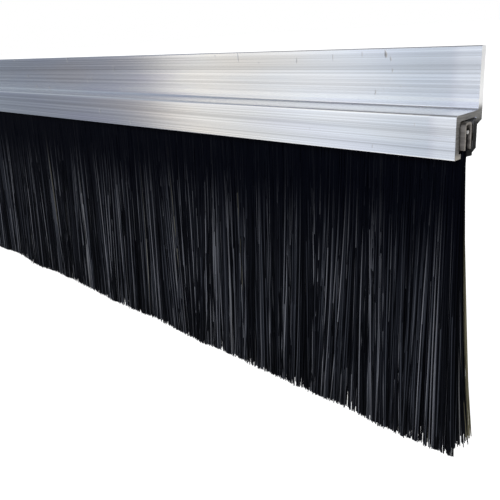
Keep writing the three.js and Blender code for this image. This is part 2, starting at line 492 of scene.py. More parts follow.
mark_frame = tree.nodes.new("NodeFrame")
mark_frame.label = "Handling marks"
nick_map = tree.nodes.new("ShaderNodeMapping")
nick_map.label, nick_map.location = "Marks, short in X", (-1600, -420)
nick_map.inputs["Scale"].default_value = (420, 130, 130)
nick_map.inputs["Rotation"].default_value = (0.0, 0.18, 0.0)
nick_noise = tree.nodes.new("ShaderNodeTexNoise")
nick_noise.label, nick_noise.location = "Scattered nicks", (-1400, -420)
nick_noise.inputs["Scale"].default_value = 1.0
nick_noise.inputs["Detail"].default_value = 1.0
nick_ramp = tree.nodes.new("ShaderNodeMapRange")
nick_ramp.label, nick_ramp.location = "Only the deepest nicks", (-1200, -420)
nick_ramp.inputs["From Min"].default_value = 0.755
nick_ramp.inputs["From Max"].default_value = 0.86
for node in (nick_map, nick_noise, nick_ramp):
    node.parent = mark_frame

cut_frame = tree.nodes.new("NodeFrame")
cut_frame.label = "Sawn ends"
cut_split = tree.nodes.new("ShaderNodeSeparateXYZ")
cut_split.label, cut_split.location = "Along the length", (-1600, -720)
cut_side = tree.nodes.new("ShaderNodeMath")
cut_side.label, cut_side.location = "Distance from the middle", (-1400, -720)
cut_side.operation = "ABSOLUTE"
cut_mask = tree.nodes.new("ShaderNodeMath")
cut_mask.label, cut_mask.location = "On a cut face", (-1200, -720)
cut_mask.operation = "GREATER_THAN"
cut_mask.inputs[1].default_value = HOLDER_HALF - CUT_FACE_SKIN
saw_map = tree.nodes.new("ShaderNodeMapping")
saw_map.label, saw_map.location = "Tooth marks, tilted", (-1600, -960)
saw_map.inputs["Rotation"].default_value = (0.45, 0, 0)
saw_map.inputs["Scale"].default_value = (1, 300, 4200)
saw_noise = tree.nodes.new("ShaderNodeTexNoise")
saw_noise.label, saw_noise.location = "Saw tooth marks", (-1400, -960)
saw_noise.inputs["Scale"].default_value = 1.0
saw_noise.inputs["Detail"].default_value = 3.0
for node in (cut_split, cut_side, cut_mask, saw_map, saw_noise):
    node.parent = cut_frame

section_frame = tree.nodes.new("NodeFrame")
section_frame.label = "Painted reflection across the section"
up_share = tree.nodes.new("ShaderNodeMapRange")
up_share.label, up_share.location = "Share of the way up", (-1400, -2560)
up_share.inputs["From Min"].default_value = HOLDER_BOTTOM
up_share.inputs["From Max"].default_value = float(holder_high[2])
# painted reflection: the skin is painted brighter at the lip edge and the flange foot
height_light = tree.nodes.new("ShaderNodeValToRGB")
height_light.label, height_light.location = "Painted reflection at lip edge and flange foot", (-1200, -2560)
for position, share in SECTION_PAINTED_LIGHT[1:-1]:
    height_light.color_ramp.elements.new(position)
for stop, (position, share) in zip(height_light.color_ramp.elements, SECTION_PAINTED_LIGHT):
    stop.position = position
    stop.color = (share, share, share, 1)
line_y = tree.nodes.new("ShaderNodeMath")
line_y.label, line_y.location = "Beside the rounded edge", (-1400, -2860)
line_y.operation = "COMPARE"
line_y.inputs[1].default_value = LEDGE_CORNER[0] + PAINTED_LINE_BACK
line_y.inputs[2].default_value = PAINTED_LINE_HALF
line_z = tree.nodes.new("ShaderNodeMath")
line_z.label, line_z.location = "On top of the ledge", (-1400, -3060)
line_z.operation = "COMPARE"
line_z.inputs[1].default_value = LEDGE_CORNER[1]
line_z.inputs[2].default_value = PAINTED_LINE_REACH
# painted reflection: a dark line is painted on the ledge just behind its rounded front edge
line_here = tree.nodes.new("ShaderNodeMath")
line_here.label, line_here.location = "Painted dark reflection line on the ledge", (-1200, -2960)
line_here.operation = "MULTIPLY"
line_dark = tree.nodes.new("ShaderNodeMath")
line_dark.label, line_dark.location = "Darker in the painted line", (-1000, -2960)
line_dark.operation = "MULTIPLY_ADD"
line_dark.inputs[1].default_value = -0.32
line_dark.inputs[2].default_value = 1.0
section_shade = tree.nodes.new("ShaderNodeMath")
section_shade.label, section_shade.location = "Painted reflection and painted line", (-800, -2760)
section_shade.operation = "MULTIPLY"
all_shades = tree.nodes.new("ShaderNodeMath")
all_shades.label, all_shades.location = "Over the whole skin", (-600, -2760)
all_shades.operation = "MULTIPLY"
for node in (up_share, height_light, line_y, line_z, line_here, line_dark, section_shade, all_shades):
    node.parent = section_frame

painted_light_frame = tree.nodes.new("NodeFrame")
painted_light_frame.label = "Painted shade and light in the pocket and on the sawn end"
pocket_y = tree.nodes.new("ShaderNodeMath")
pocket_y.label, pocket_y.location = "Between the pocket's walls", (-1400, -1200)
pocket_y.operation = "COMPARE"
pocket_y.inputs[1].default_value = (POCKET_FRONT + POCKET_REAR + POCKET_STEP) / 2
pocket_y.inputs[2].default_value = (POCKET_REAR + POCKET_STEP - POCKET_FRONT) / 2 + SKIN
pocket_z = tree.nodes.new("ShaderNodeMath")
pocket_z.label, pocket_z.location = "Between its lips and its ceiling", (-1400, -1380)
pocket_z.operation = "COMPARE"
pocket_z.inputs[1].default_value = (POCKET_TOP + POCKET_BOTTOM) / 2
pocket_z.inputs[2].default_value = (POCKET_TOP - POCKET_BOTTOM) / 2 + SKIN
pocket = tree.nodes.new("ShaderNodeMath")
pocket.label, pocket.location = "Inside the pocket", (-1200, -1280)
pocket.operation = "MULTIPLY"
rear_y = tree.nodes.new("ShaderNodeMapRange")
rear_y.label, rear_y.location = "Toward the rear wall", (-1400, -1560)
rear_y.interpolation_type = "SMOOTHSTEP"
rear_y.inputs["From Min"].default_value = POCKET_FRONT + PAINTED_SHADOW_FROM
rear_y.inputs["From Max"].default_value = POCKET_FRONT + PAINTED_SHADOW_FULL
rear_z = tree.nodes.new("ShaderNodeMapRange")
rear_z.label, rear_z.location = "Below the ceiling", (-1400, -1820)
rear_z.interpolation_type = "SMOOTHSTEP"
rear_z.inputs["From Min"].default_value = POCKET_TOP + EDGE_FADE
rear_z.inputs["From Max"].default_value = POCKET_TOP - 2 * EDGE_FADE
# painted shadow: the rear of the sawn end, below the ceiling, is painted dark where the proud
# channel shades it
rear_shadow = tree.nodes.new("ShaderNodeMath")
rear_shadow.label, rear_shadow.location = "Painted shadow on the rear of the sawn end", (-1200, -1660)
rear_shadow.operation = "MULTIPLY"
# painted highlight: above the flange foot the sawn end is painted near white, where light falls on
# it brightly
bright_z = tree.nodes.new("ShaderNodeMapRange")
bright_z.label, bright_z.location = "Painted highlight on the flange end", (-1400, -2060)
bright_z.interpolation_type = "SMOOTHSTEP"
bright_z.inputs["From Min"].default_value = HOLDER_BOTTOM + FLANGE_FOOT
bright_z.inputs["From Max"].default_value = HOLDER_BOTTOM + FLANGE_FOOT + FLANGE_LIT_OVER
# painted highlight: the sawn end of the lips is painted a light sandy colour, where light falls on
# it
lip_z = tree.nodes.new("ShaderNodeMapRange")
lip_z.label, lip_z.location = "Bright front lip", (-1400, -2300)
lip_z.interpolation_type = "SMOOTHSTEP"
lip_z.inputs["From Min"].default_value = POCKET_BOTTOM + EDGE_FADE
lip_z.inputs["From Max"].default_value = POCKET_BOTTOM - EDGE_FADE
for node in (pocket_y, pocket_z, pocket, rear_y, rear_z, rear_shadow, bright_z, lip_z):
    node.parent = painted_light_frame

colour_frame = tree.nodes.new("NodeFrame")
colour_frame.label = "Colour"
# painted shade: the pocket's walls are painted dark, where shade falls inside it
pocket_wall_shade = tree.nodes.new("ShaderNodeMix")
pocket_wall_shade.label, pocket_wall_shade.location = "Painted shade on the pocket walls", (-260, 260)
pocket_wall_shade.data_type = "RGBA"
pocket_wall_shade.inputs["B"].default_value = (0.13, 0.13, 0.13, 1)
# painted highlight with a sandy tint on the lips' sawn end
end_lip = tree.nodes.new("ShaderNodeMix")
end_lip.label, end_lip.location = "Painted highlight on the sandy lip end", (-700, -900)
end_lip.data_type = "RGBA"
end_lip.inputs["B"].default_value = (0.46, 0.43, 0.38, 1)
# painted highlight: the flange's sawn end is painted near white
end_bright = tree.nodes.new("ShaderNodeMix")
end_bright.label, end_bright.location = "Painted highlight, bright flange end", (-520, -900)
end_bright.data_type = "RGBA"
end_bright.inputs["B"].default_value = (0.96, 0.96, 0.96, 1)
# painted shadow: the rear of the sawn end is painted near black, where the proud channel shades it
end_rear_shadow = tree.nodes.new("ShaderNodeMix")
end_rear_shadow.label, end_rear_shadow.location = "Painted dark shadow on the rear", (-340, -900)
end_rear_shadow.data_type = "RGBA"
end_rear_shadow.inputs["B"].default_value = (0.016, 0.016, 0.016, 1)
for node in (pocket_wall_shade, end_lip, end_bright, end_rear_shadow):
    node.parent = colour_frame
line_shade = tree.nodes.new("ShaderNodeMapRange")
line_shade.label, line_shade.location = "How dark a line is", (-900, 420)
line_shade.inputs["From Min"].default_value = 0.3
line_shade.inputs["From Max"].default_value = 0.7
line_shade.inputs["To Min"].default_value = 0.78
line_shade.inputs["To Max"].default_value = 1.14
band_shade = tree.nodes.new("ShaderNodeMapRange")
band_shade.label, band_shade.location = "How dark a band is", (-900, 160)
band_shade.inputs["From Min"].default_value = 0.3
band_shade.inputs["From Max"].default_value = 0.7
band_shade.inputs["To Min"].default_value = 0.74
band_shade.inputs["To Max"].default_value = 1.20
both_shades = tree.nodes.new("ShaderNodeMath")
both_shades.label, both_shades.location = "Lines over bands", (-720, 300)
both_shades.operation = "MULTIPLY"
shaded = tree.nodes.new("ShaderNodeMix")
shaded.label, shaded.location = "Lines in the metal", (-540, 200)
shaded.data_type = "RGBA"
shaded.blend_type = "MULTIPLY"
shaded.inputs["Factor"].default_value = 1.0
nicked = tree.nodes.new("ShaderNodeMix")
nicked.label, nicked.location = "Dark in the nicks", (-360, 120)
nicked.data_type = "RGBA"
nicked.inputs["B"].default_value = (0.30, 0.29, 0.28, 1)
cut_colour = tree.nodes.new("ShaderNodeMix")
cut_colour.label, cut_colour.location = "Duller sawn face", (-180, 60)
cut_colour.data_type = "RGBA"
saw_shade = tree.nodes.new("ShaderNodeValToRGB")
saw_shade.label, saw_shade.location = "Light and dark tooth marks", (-900, -900)
saw_shade.color_ramp.elements[0].position = 0.36
saw_shade.color_ramp.elements[0].color = (0.16, 0.155, 0.15, 1)
saw_shade.color_ramp.elements[1].position = 0.66
saw_shade.color_ramp.elements[1].color = (0.27, 0.265, 0.255, 1)
for node in (line_shade, band_shade, both_shades, shaded, nicked, cut_colour, saw_shade):
    node.parent = colour_frame

rough_frame = tree.nodes.new("NodeFrame")
rough_frame.label = "Roughness"
band_rough = tree.nodes.new("ShaderNodeMapRange")
band_rough.label, band_rough.location = "Duller and brighter bands", (-900, -160)
band_rough.inputs["From Min"].default_value = 0.3
band_rough.inputs["From Max"].default_value = 0.7
band_rough.inputs["To Min"].default_value = 0.23
band_rough.inputs["To Max"].default_value = 0.17
cut_rough = tree.nodes.new("ShaderNodeMix")
cut_rough.label, cut_rough.location = "Rough sawn face", (-180, -160)
cut_rough.inputs["B"].default_value = 0.5
for node in (band_rough, cut_rough):
    node.parent = rough_frame

relief_frame = tree.nodes.new("NodeFrame")
relief_frame.label = "Relief"
line_bump = tree.nodes.new("ShaderNodeBump")
line_bump.label, line_bump.location = "Die lines stand proud", (-540, -420)
line_bump.inputs["Strength"].default_value = 0.35
line_bump.inputs["Distance"].default_value = 0.00006
band_bump = tree.nodes.new("ShaderNodeBump")
band_bump.label, band_bump.location = "Bands roll", (-720, -560)
band_bump.inputs["Strength"].default_value = 0.5
band_bump.inputs["Distance"].default_value = 0.0001
nick_bump = tree.nodes.new("ShaderNodeBump")
nick_bump.label, nick_bump.location = "Nicks are dents", (-360, -420)
nick_bump.invert = True
nick_bump.inputs["Strength"].default_value = 0.4
nick_bump.inputs["Distance"].default_value = 0.0002
saw_bump = tree.nodes.new("ShaderNodeBump")
saw_bump.label, saw_bump.location = "Tooth marks", (-540, -760)
saw_bump.inputs["Strength"].default_value = 0.7
saw_bump.inputs["Distance"].default_value = 0.00012
cut_normal = tree.nodes.new("ShaderNodeMix")
cut_normal.label, cut_normal.location = "Die lines or tooth marks", (-180, -420)
cut_normal.data_type = "VECTOR"
for node in (line_bump, band_bump, nick_bump, saw_bump, cut_normal):
    node.parent = relief_frame

round_x = tree.nodes.new("ShaderNodeTangent")
round_x.label, round_x.location = "Across the die lines", (-180, -600)
round_x.direction_type = "RADIAL"
round_x.axis = "X"
metal = tree.nodes.new("ShaderNodeBsdfPrincipled")
metal.label, metal.location = "Bare aluminium", (60, 0)
metal.inputs["Metallic"].default_value = 1.0
metal.inputs["Anisotropic"].default_value = 1.0
out = tree.nodes.new("ShaderNodeOutputMaterial")
out.label, out.location = "Surface", (360, 0)

for mapping in (die_fine, die_broad, tint_map, nick_map, saw_map):
    tree.links.new(place.outputs["Object"], mapping.inputs["Vector"])
tree.links.new(place.outputs["Object"], cut_split.inputs["Vector"])
tree.links.new(die_fine.outputs["Vector"], die_fine_noise.inputs["Vector"])
tree.links.new(die_broad.outputs["Vector"], die_broad_noise.inputs["Vector"])
tree.links.new(tint_map.outputs["Vector"], tint_noise.inputs["Vector"])
tree.links.new(tint_noise.outputs["Fac"], tint_ramp.inputs["Fac"])
tree.links.new(nick_map.outputs["Vector"], nick_noise.inputs["Vector"])
tree.links.new(nick_noise.outputs["Fac"], nick_ramp.inputs["Value"])
tree.links.new(cut_split.outputs["X"], cut_side.inputs[0])
tree.links.new(cut_side.outputs["Value"], cut_mask.inputs[0])
tree.links.new(saw_map.outputs["Vector"], saw_noise.inputs["Vector"])
tree.links.new(die_fine_noise.outputs["Fac"], line_shade.inputs["Value"])
tree.links.new(die_broad_noise.outputs["Fac"], band_shade.inputs["Value"])
tree.links.new(line_shade.outputs["Result"], both_shades.inputs[0])
tree.links.new(band_shade.outputs["Result"], both_shades.inputs[1])
tree.links.new(tint_ramp.outputs["Color"], shaded.inputs["A"])
tree.links.new(cut_split.outputs["Z"], up_share.inputs["Value"])
tree.links.new(up_share.outputs["Result"], height_light.inputs["Fac"])
tree.links.new(cut_split.outputs["Y"], line_y.inputs[0])
tree.links.new(cut_split.outputs["Z"], line_z.inputs[0])
tree.links.new(line_y.outputs["Value"], line_here.inputs[0])
tree.links.new(line_z.outputs["Value"], line_here.inputs[1])
tree.links.new(line_here.outputs["Value"], line_dark.inputs[0])
tree.links.new(height_light.outputs["Color"], section_shade.inputs[0])
tree.links.new(line_dark.outputs["Value"], section_shade.inputs[1])
tree.links.new(both_shades.outputs["Value"], all_shades.inputs[0])
tree.links.new(section_shade.outputs["Value"], all_shades.inputs[1])
tree.links.new(all_shades.outputs["Value"], shaded.inputs["B"])
tree.links.new(shaded.outputs["Result"], nicked.inputs["A"])
tree.links.new(nick_ramp.outputs["Result"], nicked.inputs["Factor"])
tree.links.new(saw_noise.outputs["Fac"], saw_shade.inputs["Fac"])
tree.links.new(cut_split.outputs["Y"], pocket_y.inputs[0])
tree.links.new(cut_split.outputs["Z"], pocket_z.inputs[0])
tree.links.new(pocket_y.outputs["Value"], pocket.inputs[0])
tree.links.new(pocket_z.outputs["Value"], pocket.inputs[1])
tree.links.new(cut_split.outputs["Y"], rear_y.inputs["Value"])
tree.links.new(cut_split.outputs["Z"], rear_z.inputs["Value"])
tree.links.new(rear_y.outputs["Result"], rear_shadow.inputs[0])
tree.links.new(rear_z.outputs["Result"], rear_shadow.inputs[1])
tree.links.new(cut_split.outputs["Z"], bright_z.inputs["Value"])
tree.links.new(cut_split.outputs["Z"], lip_z.inputs["Value"])
tree.links.new(nicked.outputs["Result"], pocket_wall_shade.inputs["A"])
tree.links.new(pocket.outputs["Value"], pocket_wall_shade.inputs["Factor"])
tree.links.new(saw_shade.outputs["Color"], end_lip.inputs["A"])
tree.links.new(lip_z.outputs["Result"], end_lip.inputs["Factor"])
tree.links.new(end_lip.outputs["Result"], end_bright.inputs["A"])
tree.links.new(bright_z.outputs["Result"], end_bright.inputs["Factor"])
tree.links.new(end_bright.outputs["Result"], end_rear_shadow.inputs["A"])
tree.links.new(rear_shadow.outputs["Value"], end_rear_shadow.inputs["Factor"])
tree.links.new(pocket_wall_shade.outputs["Result"], cut_colour.inputs["A"])
tree.links.new(end_rear_shadow.outputs["Result"], cut_colour.inputs["B"])
tree.links.new(cut_mask.outputs["Value"], cut_colour.inputs["Factor"])
tree.links.new(die_broad_noise.outputs["Fac"], band_rough.inputs["Value"])
tree.links.new(band_rough.outputs["Result"], cut_rough.inputs["A"])
tree.links.new(cut_mask.outputs["Value"], cut_rough.inputs["Factor"])
tree.links.new(die_broad_noise.outputs["Fac"], band_bump.inputs["Height"])
tree.links.new(band_bump.outputs["Normal"], line_bump.inputs["Normal"])
tree.links.new(die_fine_noise.outputs["Fac"], line_bump.inputs["Height"])
tree.links.new(line_bump.outputs["Normal"], nick_bump.inputs["Normal"])
tree.links.new(nick_ramp.outputs["Result"], nick_bump.inputs["Height"])
tree.links.new(saw_noise.outputs["Fac"], saw_bump.inputs["Height"])
tree.links.new(nick_bump.outputs["Normal"], cut_normal.inputs["A"])
tree.links.new(saw_bump.outputs["Normal"], cut_normal.inputs["B"])
tree.links.new(cut_mask.outputs["Value"], cut_normal.inputs["Factor"])
tree.links.new(cut_colour.outputs["Result"], metal.inputs["Base Color"])
tree.links.new(cut_rough.outputs["Result"], metal.inputs["Roughness"])
tree.links.new(cut_normal.outputs["Result"], metal.inputs["Normal"])
tree.links.new(round_x.outputs["Tangent"], metal.inputs["Tangent"])
tree.links.new(metal.outputs["BSDF"], out.inputs["Surface"])

holder.data.materials.append(mill)
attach(holder, "holder")
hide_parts("holder")


# ---------------------------------------------------------------------------------------------
# Brush channel. Galvanised steel strip rolled into a narrow U and pinched onto the filaments.
# It slides in the holder's pocket and stands a little proud of the sawn end.
# ---------------------------------------------------------------------------------------------
channel = sawn_length(
    "steel_channel",
    "brush_channel",
    end_outline("brush_channel"),
    step=0.0005,
    line_depth=0.000004,
    burr=0.00012,
    cut_edge=0.00010,
    seed=9,
)


def rolled_steel(name, light, dark, streaks, rough):
    """Bare or zinc-coated steel with streaks along X, from light to dark, and dull patches."""
    steel = bpy.data.materials.new(name)
    steel.use_nodes = True
    tree = steel.node_tree
    tree.nodes.clear()
    place = tree.nodes.new("ShaderNodeTexCoord")
    place.label, place.location = "Place on the steel", (-1100, 0)

    streak_frame = tree.nodes.new("NodeFrame")
    streak_frame.label = "Rolling streaks"
    streak_map = tree.nodes.new("ShaderNodeMapping")
    streak_map.label, streak_map.location = "Long in X", (-900, 200)
    streak_map.inputs["Scale"].default_value = streaks
    streak_noise = tree.nodes.new("ShaderNodeTexNoise")
    streak_noise.label, streak_noise.location = "Streaks", (-700, 200)
    streak_noise.inputs["Scale"].default_value = 1.0
    streak_noise.inputs["Detail"].default_value = 4.0
    streak_map.parent = streak_noise.parent = streak_frame

    patch_frame = tree.nodes.new("NodeFrame")
    patch_frame.label = "Dull patches"
    patch_noise = tree.nodes.new("ShaderNodeTexNoise")
    patch_noise.label, patch_noise.location = "Patches", (-700, -100)
    patch_noise.inputs["Scale"].default_value = 450.0
    patch_noise.inputs["Detail"].default_value = 3.0
    patch_rough = tree.nodes.new("ShaderNodeMapRange")
    patch_rough.label, patch_rough.location = "Patch roughness", (-300, -100)
    patch_rough.inputs["From Min"].default_value = 0.3
    patch_rough.inputs["From Max"].default_value = 0.7
    patch_rough.inputs["To Min"].default_value = rough - 0.1
    patch_rough.inputs["To Max"].default_value = rough + 0.12
    patch_noise.parent = patch_rough.parent = patch_frame

    both = tree.nodes.new("ShaderNodeMath")
    both.label, both.location = "Streaks and patches", (-500, 100)
    both.operation = "MULTIPLY_ADD"
    both.inputs[1].default_value = 0.6
    colour = tree.nodes.new("ShaderNodeValToRGB")
    colour.label, colour.location = "Steel colour", (-320, 200)
    colour.color_ramp.elements[0].position = 0.55
    colour.color_ramp.elements[0].color = (*dark, 1)
    colour.color_ramp.elements[1].position = 1.0
    colour.color_ramp.elements[1].color = (*light, 1)
    relief = tree.nodes.new("ShaderNodeBump")
    relief.label, relief.location = "Streak relief", (-300, -340)
    relief.inputs["Strength"].default_value = 0.4
    relief.inputs["Distance"].default_value = 0.00005
    metal = tree.nodes.new("ShaderNodeBsdfPrincipled")
    metal.label, metal.location = "Steel", (0, 0)
    metal.inputs["Metallic"].default_value = 1.0
    out = tree.nodes.new("ShaderNodeOutputMaterial")
    out.label, out.location = "Surface", (300, 0)

    tree.links.new(place.outputs["Object"], streak_map.inputs["Vector"])
    tree.links.new(place.outputs["Object"], patch_noise.inputs["Vector"])
    tree.links.new(streak_map.outputs["Vector"], streak_noise.inputs["Vector"])
    tree.links.new(patch_noise.outputs["Fac"], both.inputs[0])
    tree.links.new(streak_noise.outputs["Fac"], both.inputs[2])
    tree.links.new(both.outputs["Value"], colour.inputs["Fac"])
    tree.links.new(patch_noise.outputs["Fac"], patch_rough.inputs["Value"])
    tree.links.new(streak_noise.outputs["Fac"], relief.inputs["Height"])
    tree.links.new(colour.outputs["Color"], metal.inputs["Base Color"])
    tree.links.new(patch_rough.outputs["Result"], metal.inputs["Roughness"])
    tree.links.new(relief.outputs["Normal"], metal.inputs["Normal"])
    tree.links.new(metal.outputs["BSDF"], out.inputs["Surface"])
    return steel


galvanised = rolled_steel(
    "galvanised_steel",
    light=(0.27, 0.245, 0.22),
    dark=(0.09, 0.08, 0.072),
    streaks=(14, 1200, 1200),
    rough=0.38,
)
channel.data.materials.append(galvanised)
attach(channel, "brush_strip")
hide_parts("brush_channel")


# ---------------------------------------------------------------------------------------------
# Core wire. A plain drawn steel wire that runs the length of the brush. The filaments are folded
# over it, and it keeps them from pulling out of the channel. It is sheared at both ends.
# ---------------------------------------------------------------------------------------------
WIRE_SIDES = 24
WIRE_CROP = 0.00018  # how far the sheared edge rolls over
WIRE_END_SHARE = 0.55  # the end's radius as a share of the wire's
WIRE_ROLL_SHARE = 0.88  # the radius part way round the rolled edge
WIRE_ROLL_AT = 0.4  # how far into the rolled edge that is
WIRE_FIRST_RING = 0.012
WIRE_RINGS = 74
WIRE_WANDER = 0.00004

wire_low, wire_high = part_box("core_wire")
wire_radius = (wire_high[2] - wire_low[2]) / 2
wire_y = (wire_low[1] + wire_high[1]) / 2
wire_z = (wire_low[2] + wire_high[2]) / 2

wire_first, wire_last = wire_low[0] + WIRE_FIRST_RING, wire_high[0] - WIRE_FIRST_RING

wire_shape = bmesh.new()
wire_rings = []
wire_stations = [
    (wire_low[0], WIRE_END_SHARE),
    (wire_low[0] + WIRE_CROP * WIRE_ROLL_AT, WIRE_ROLL_SHARE),
    (wire_low[0] + WIRE_CROP, 1.0),
    *[(x, 1.0) for x in np.linspace(wire_first, wire_last, WIRE_RINGS)],
    (wire_high[0] - WIRE_CROP, 1.0),
    (wire_high[0] - WIRE_CROP * WIRE_ROLL_AT, WIRE_ROLL_SHARE),
    (wire_high[0], WIRE_END_SHARE),
]
for x, share in wire_stations:
    wander = WIRE_WANDER * noise.noise((x * 14, 2, 0))
    ring = []
    for i in range(WIRE_SIDES):
        angle = 2 * math.pi * i / WIRE_SIDES
        ring.append(
            wire_shape.verts.new(
                (
                    x,
                    wire_y + wander + wire_radius * share * math.cos(angle),
                    wire_z + wander + wire_radius * share * math.sin(angle),
                )
            )
        )
    wire_rings.append(ring)
for a, b in zip(wire_rings, wire_rings[1:]):
    for i in range(WIRE_SIDES):
        j = (i + 1) % WIRE_SIDES
        wire_shape.faces.new((a[i], a[j], b[j], b[i]))
wire_shape.faces.new(wire_rings[0][::-1])
wire_shape.faces.new(wire_rings[-1])
bmesh.ops.recalc_face_normals(wire_shape, faces=wire_shape.faces)
for face in wire_shape.faces:
    face.smooth = len(face.verts) == 4
wire_mesh = bpy.data.meshes.new("steel_core_wire")
wire_shape.to_mesh(wire_mesh)
wire_shape.free()
wire = bpy.data.objects.new("steel_core_wire", wire_mesh)
scene.collection.objects.link(wire)

drawn_steel = rolled_steel(
    "drawn_steel_wire",
    light=(0.48, 0.47, 0.46),
    dark=(0.26, 0.25, 0.24),
    streaks=(20, 2600, 2600),
    rough=0.33,
)
wire.data.materials.append(drawn_steel)
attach(wire, "brush_strip")
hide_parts("core_wire")


# ---------------------------------------------------------------------------------------------
# Folded filaments. Black crimped-in plastic filaments, each one folded over the wire like
# a hairpin and gripped by the channel. Every loop is its own thin strand.
# ---------------------------------------------------------------------------------------------
def black_plastic(name):
    """Extruded black filament: near black and painted in shadow near the channel, with lighter
    blue-grey strands painted as sheen streaks, each strand a little different.
    """
    plastic = bpy.data.materials.new(name)
    plastic.use_nodes = True
    tree = plastic.node_tree
    tree.nodes.clear()
    tone = tree.nodes.new("ShaderNodeAttribute")
    tone.label, tone.location = "Tone of this strand", (-900, 100)
    tone.attribute_name = "strand_tone"
    place = tree.nodes.new("ShaderNodeTexCoord")
    place.label, place.location = "Place on the brush", (-1100, -200)

    colour_frame = tree.nodes.new("NodeFrame")
    colour_frame.label = "Colour"
    # painted sheen: random tones, the lighter blue-grey ones and the olive top tone stand in for
    # highlights on the strands
    colour = tree.nodes.new("ShaderNodeValToRGB")
    colour.label, colour.location = "Black, blue-black, a few faded", (-640, 100)
    colour.color_ramp.elements[0].position = 0.30
    colour.color_ramp.elements[0].color = (0.0020, 0.0024, 0.0038, 1)
    colour.color_ramp.elements[1].position = 1.0
    colour.color_ramp.elements[1].color = (0.15, 0.14, 0.09, 1)
    for position, shade in (
        (0.70, (0.008, 0.009, 0.013, 1)),
        (0.84, (0.038, 0.042, 0.053, 1)),
        (0.995, (0.150, 0.156, 0.178, 1)),
    ):
        colour.color_ramp.elements.new(position).color = shade
    reach = tree.nodes.new("ShaderNodeAttribute")
    reach.label, reach.location = "How far below the channel", (-900, 360)
    reach.attribute_name = "strand_reach"
    # painted shadow: the strands are painted near black below the channel, where the holder shades
    # them, and lighter toward the tips
    out_of_shadow = tree.nodes.new("ShaderNodeMapRange")
    out_of_shadow.label, out_of_shadow.location = "Out of the painted shadow toward the tips", (-640, 360)
    out_of_shadow.interpolation_type = "SMOOTHSTEP"
    out_of_shadow.inputs["From Min"].default_value = 0.12
    out_of_shadow.inputs["From Max"].default_value = 0.58
    out_of_shadow.inputs["To Min"].default_value = 0.03
    holder_shadow_mix = tree.nodes.new("ShaderNodeMix")
    holder_shadow_mix.label, holder_shadow_mix.location = "Painted shadow near the channel", (-400, 200)
    holder_shadow_mix.data_type = "RGBA"
    holder_shadow_mix.inputs["A"].default_value = (0.0006, 0.0010, 0.0032, 1)
    for node in (colour, out_of_shadow, holder_shadow_mix):
        node.parent = colour_frame

    rough_frame = tree.nodes.new("NodeFrame")
    rough_frame.label = "Roughness"
    dust = tree.nodes.new("ShaderNodeTexNoise")
    dust.label, dust.location = "Handling and dust", (-900, -200)
    dust.inputs["Scale"].default_value = 60.0
    dust.inputs["Detail"].default_value = 4.0
    dulling = tree.nodes.new("ShaderNodeMapRange")
    dulling.label, dulling.location = "Satin to dull", (-640, -200)
    dulling.inputs["From Min"].default_value = 0.3
    dulling.inputs["From Max"].default_value = 0.7
    dulling.inputs["To Min"].default_value = 0.34
    dulling.inputs["To Max"].default_value = 0.52
    dust.parent = dulling.parent = rough_frame

    strand = tree.nodes.new("ShaderNodeBsdfPrincipled")
    strand.label, strand.location = "Plastic strand", (-200, 0)
    strand.inputs["Specular IOR Level"].default_value = 0.02
    out = tree.nodes.new("ShaderNodeOutputMaterial")
    out.label, out.location = "Surface", (100, 0)

    tree.links.new(tone.outputs["Fac"], colour.inputs["Fac"])
    tree.links.new(place.outputs["Object"], dust.inputs["Vector"])
    tree.links.new(dust.outputs["Fac"], dulling.inputs["Value"])
    tree.links.new(reach.outputs["Fac"], out_of_shadow.inputs["Value"])
    tree.links.new(out_of_shadow.outputs["Result"], holder_shadow_mix.inputs["Factor"])
    tree.links.new(colour.outputs["Color"], holder_shadow_mix.inputs["B"])
    tree.links.new(holder_shadow_mix.outputs["Result"], strand.inputs["Base Color"])
    tree.links.new(dulling.outputs["Result"], strand.inputs["Roughness"])
    tree.links.new(strand.outputs["BSDF"], out.inputs["Surface"])
    return plastic


filament_black = black_plastic("black_filament")

fold = bpy.data.node_groups.new("filaments_folded_over_wire", "GeometryNodeTree")
for socket, kind in (
    ("Geometry", "NodeSocketGeometry"),
    ("Loops", "NodeSocketInt"),
    ("Row Start", "NodeSocketFloat"),
    ("Row End", "NodeSocketFloat"),
    ("Wire Y", "NodeSocketFloat"),
    ("Wire Z", "NodeSocketFloat"),
    ("Inner Radius", "NodeSocketFloat"),
    ("Outer Radius", "NodeSocketFloat"),
    ("Leg Length", "NodeSocketFloat"),
    ("Filament Radius", "NodeSocketFloat"),
    ("Material", "NodeSocketMaterial"),
):
    fold.interface.new_socket(socket, in_out="INPUT", socket_type=kind)
fold.interface.new_socket("Geometry", in_out="OUTPUT", socket_type="NodeSocketGeometry")

given = fold.nodes.new("NodeGroupInput")
given.label, given.location = "Sizes", (-1600, 0)
lowest = fold.nodes.new("ShaderNodeCombineXYZ")
lowest.label, lowest.location = "Row start, inner radius", (-1400, 200)
highest = fold.nodes.new("ShaderNodeCombineXYZ")
highest.label, highest.location = "Row end, outer radius", (-1400, 60)
scatter = fold.nodes.new("FunctionNodeRandomValue")
scatter.label, scatter.location = "Place and radius of each loop", (-1200, 150)
scatter.data_type = "FLOAT_VECTOR"
scatter.inputs["Seed"].default_value = 21
tone = fold.nodes.new("FunctionNodeRandomValue")
tone.label, tone.location = "Tone of each strand", (-1200, -100)
tone.data_type = "FLOAT"
tone.inputs["Seed"].default_value = 22
starts = fold.nodes.new("GeometryNodePoints")
starts.label, starts.location = "One point for each loop", (-1200, 360)
keep_place = fold.nodes.new("GeometryNodeStoreNamedAttribute")
keep_place.label, keep_place.location = "Keep place and radius", (-980, 360)
keep_place.data_type = "FLOAT_VECTOR"
keep_place.domain = "POINT"
keep_place.inputs["Name"].default_value = "loop_place"
keep_tone = fold.nodes.new("GeometryNodeStoreNamedAttribute")
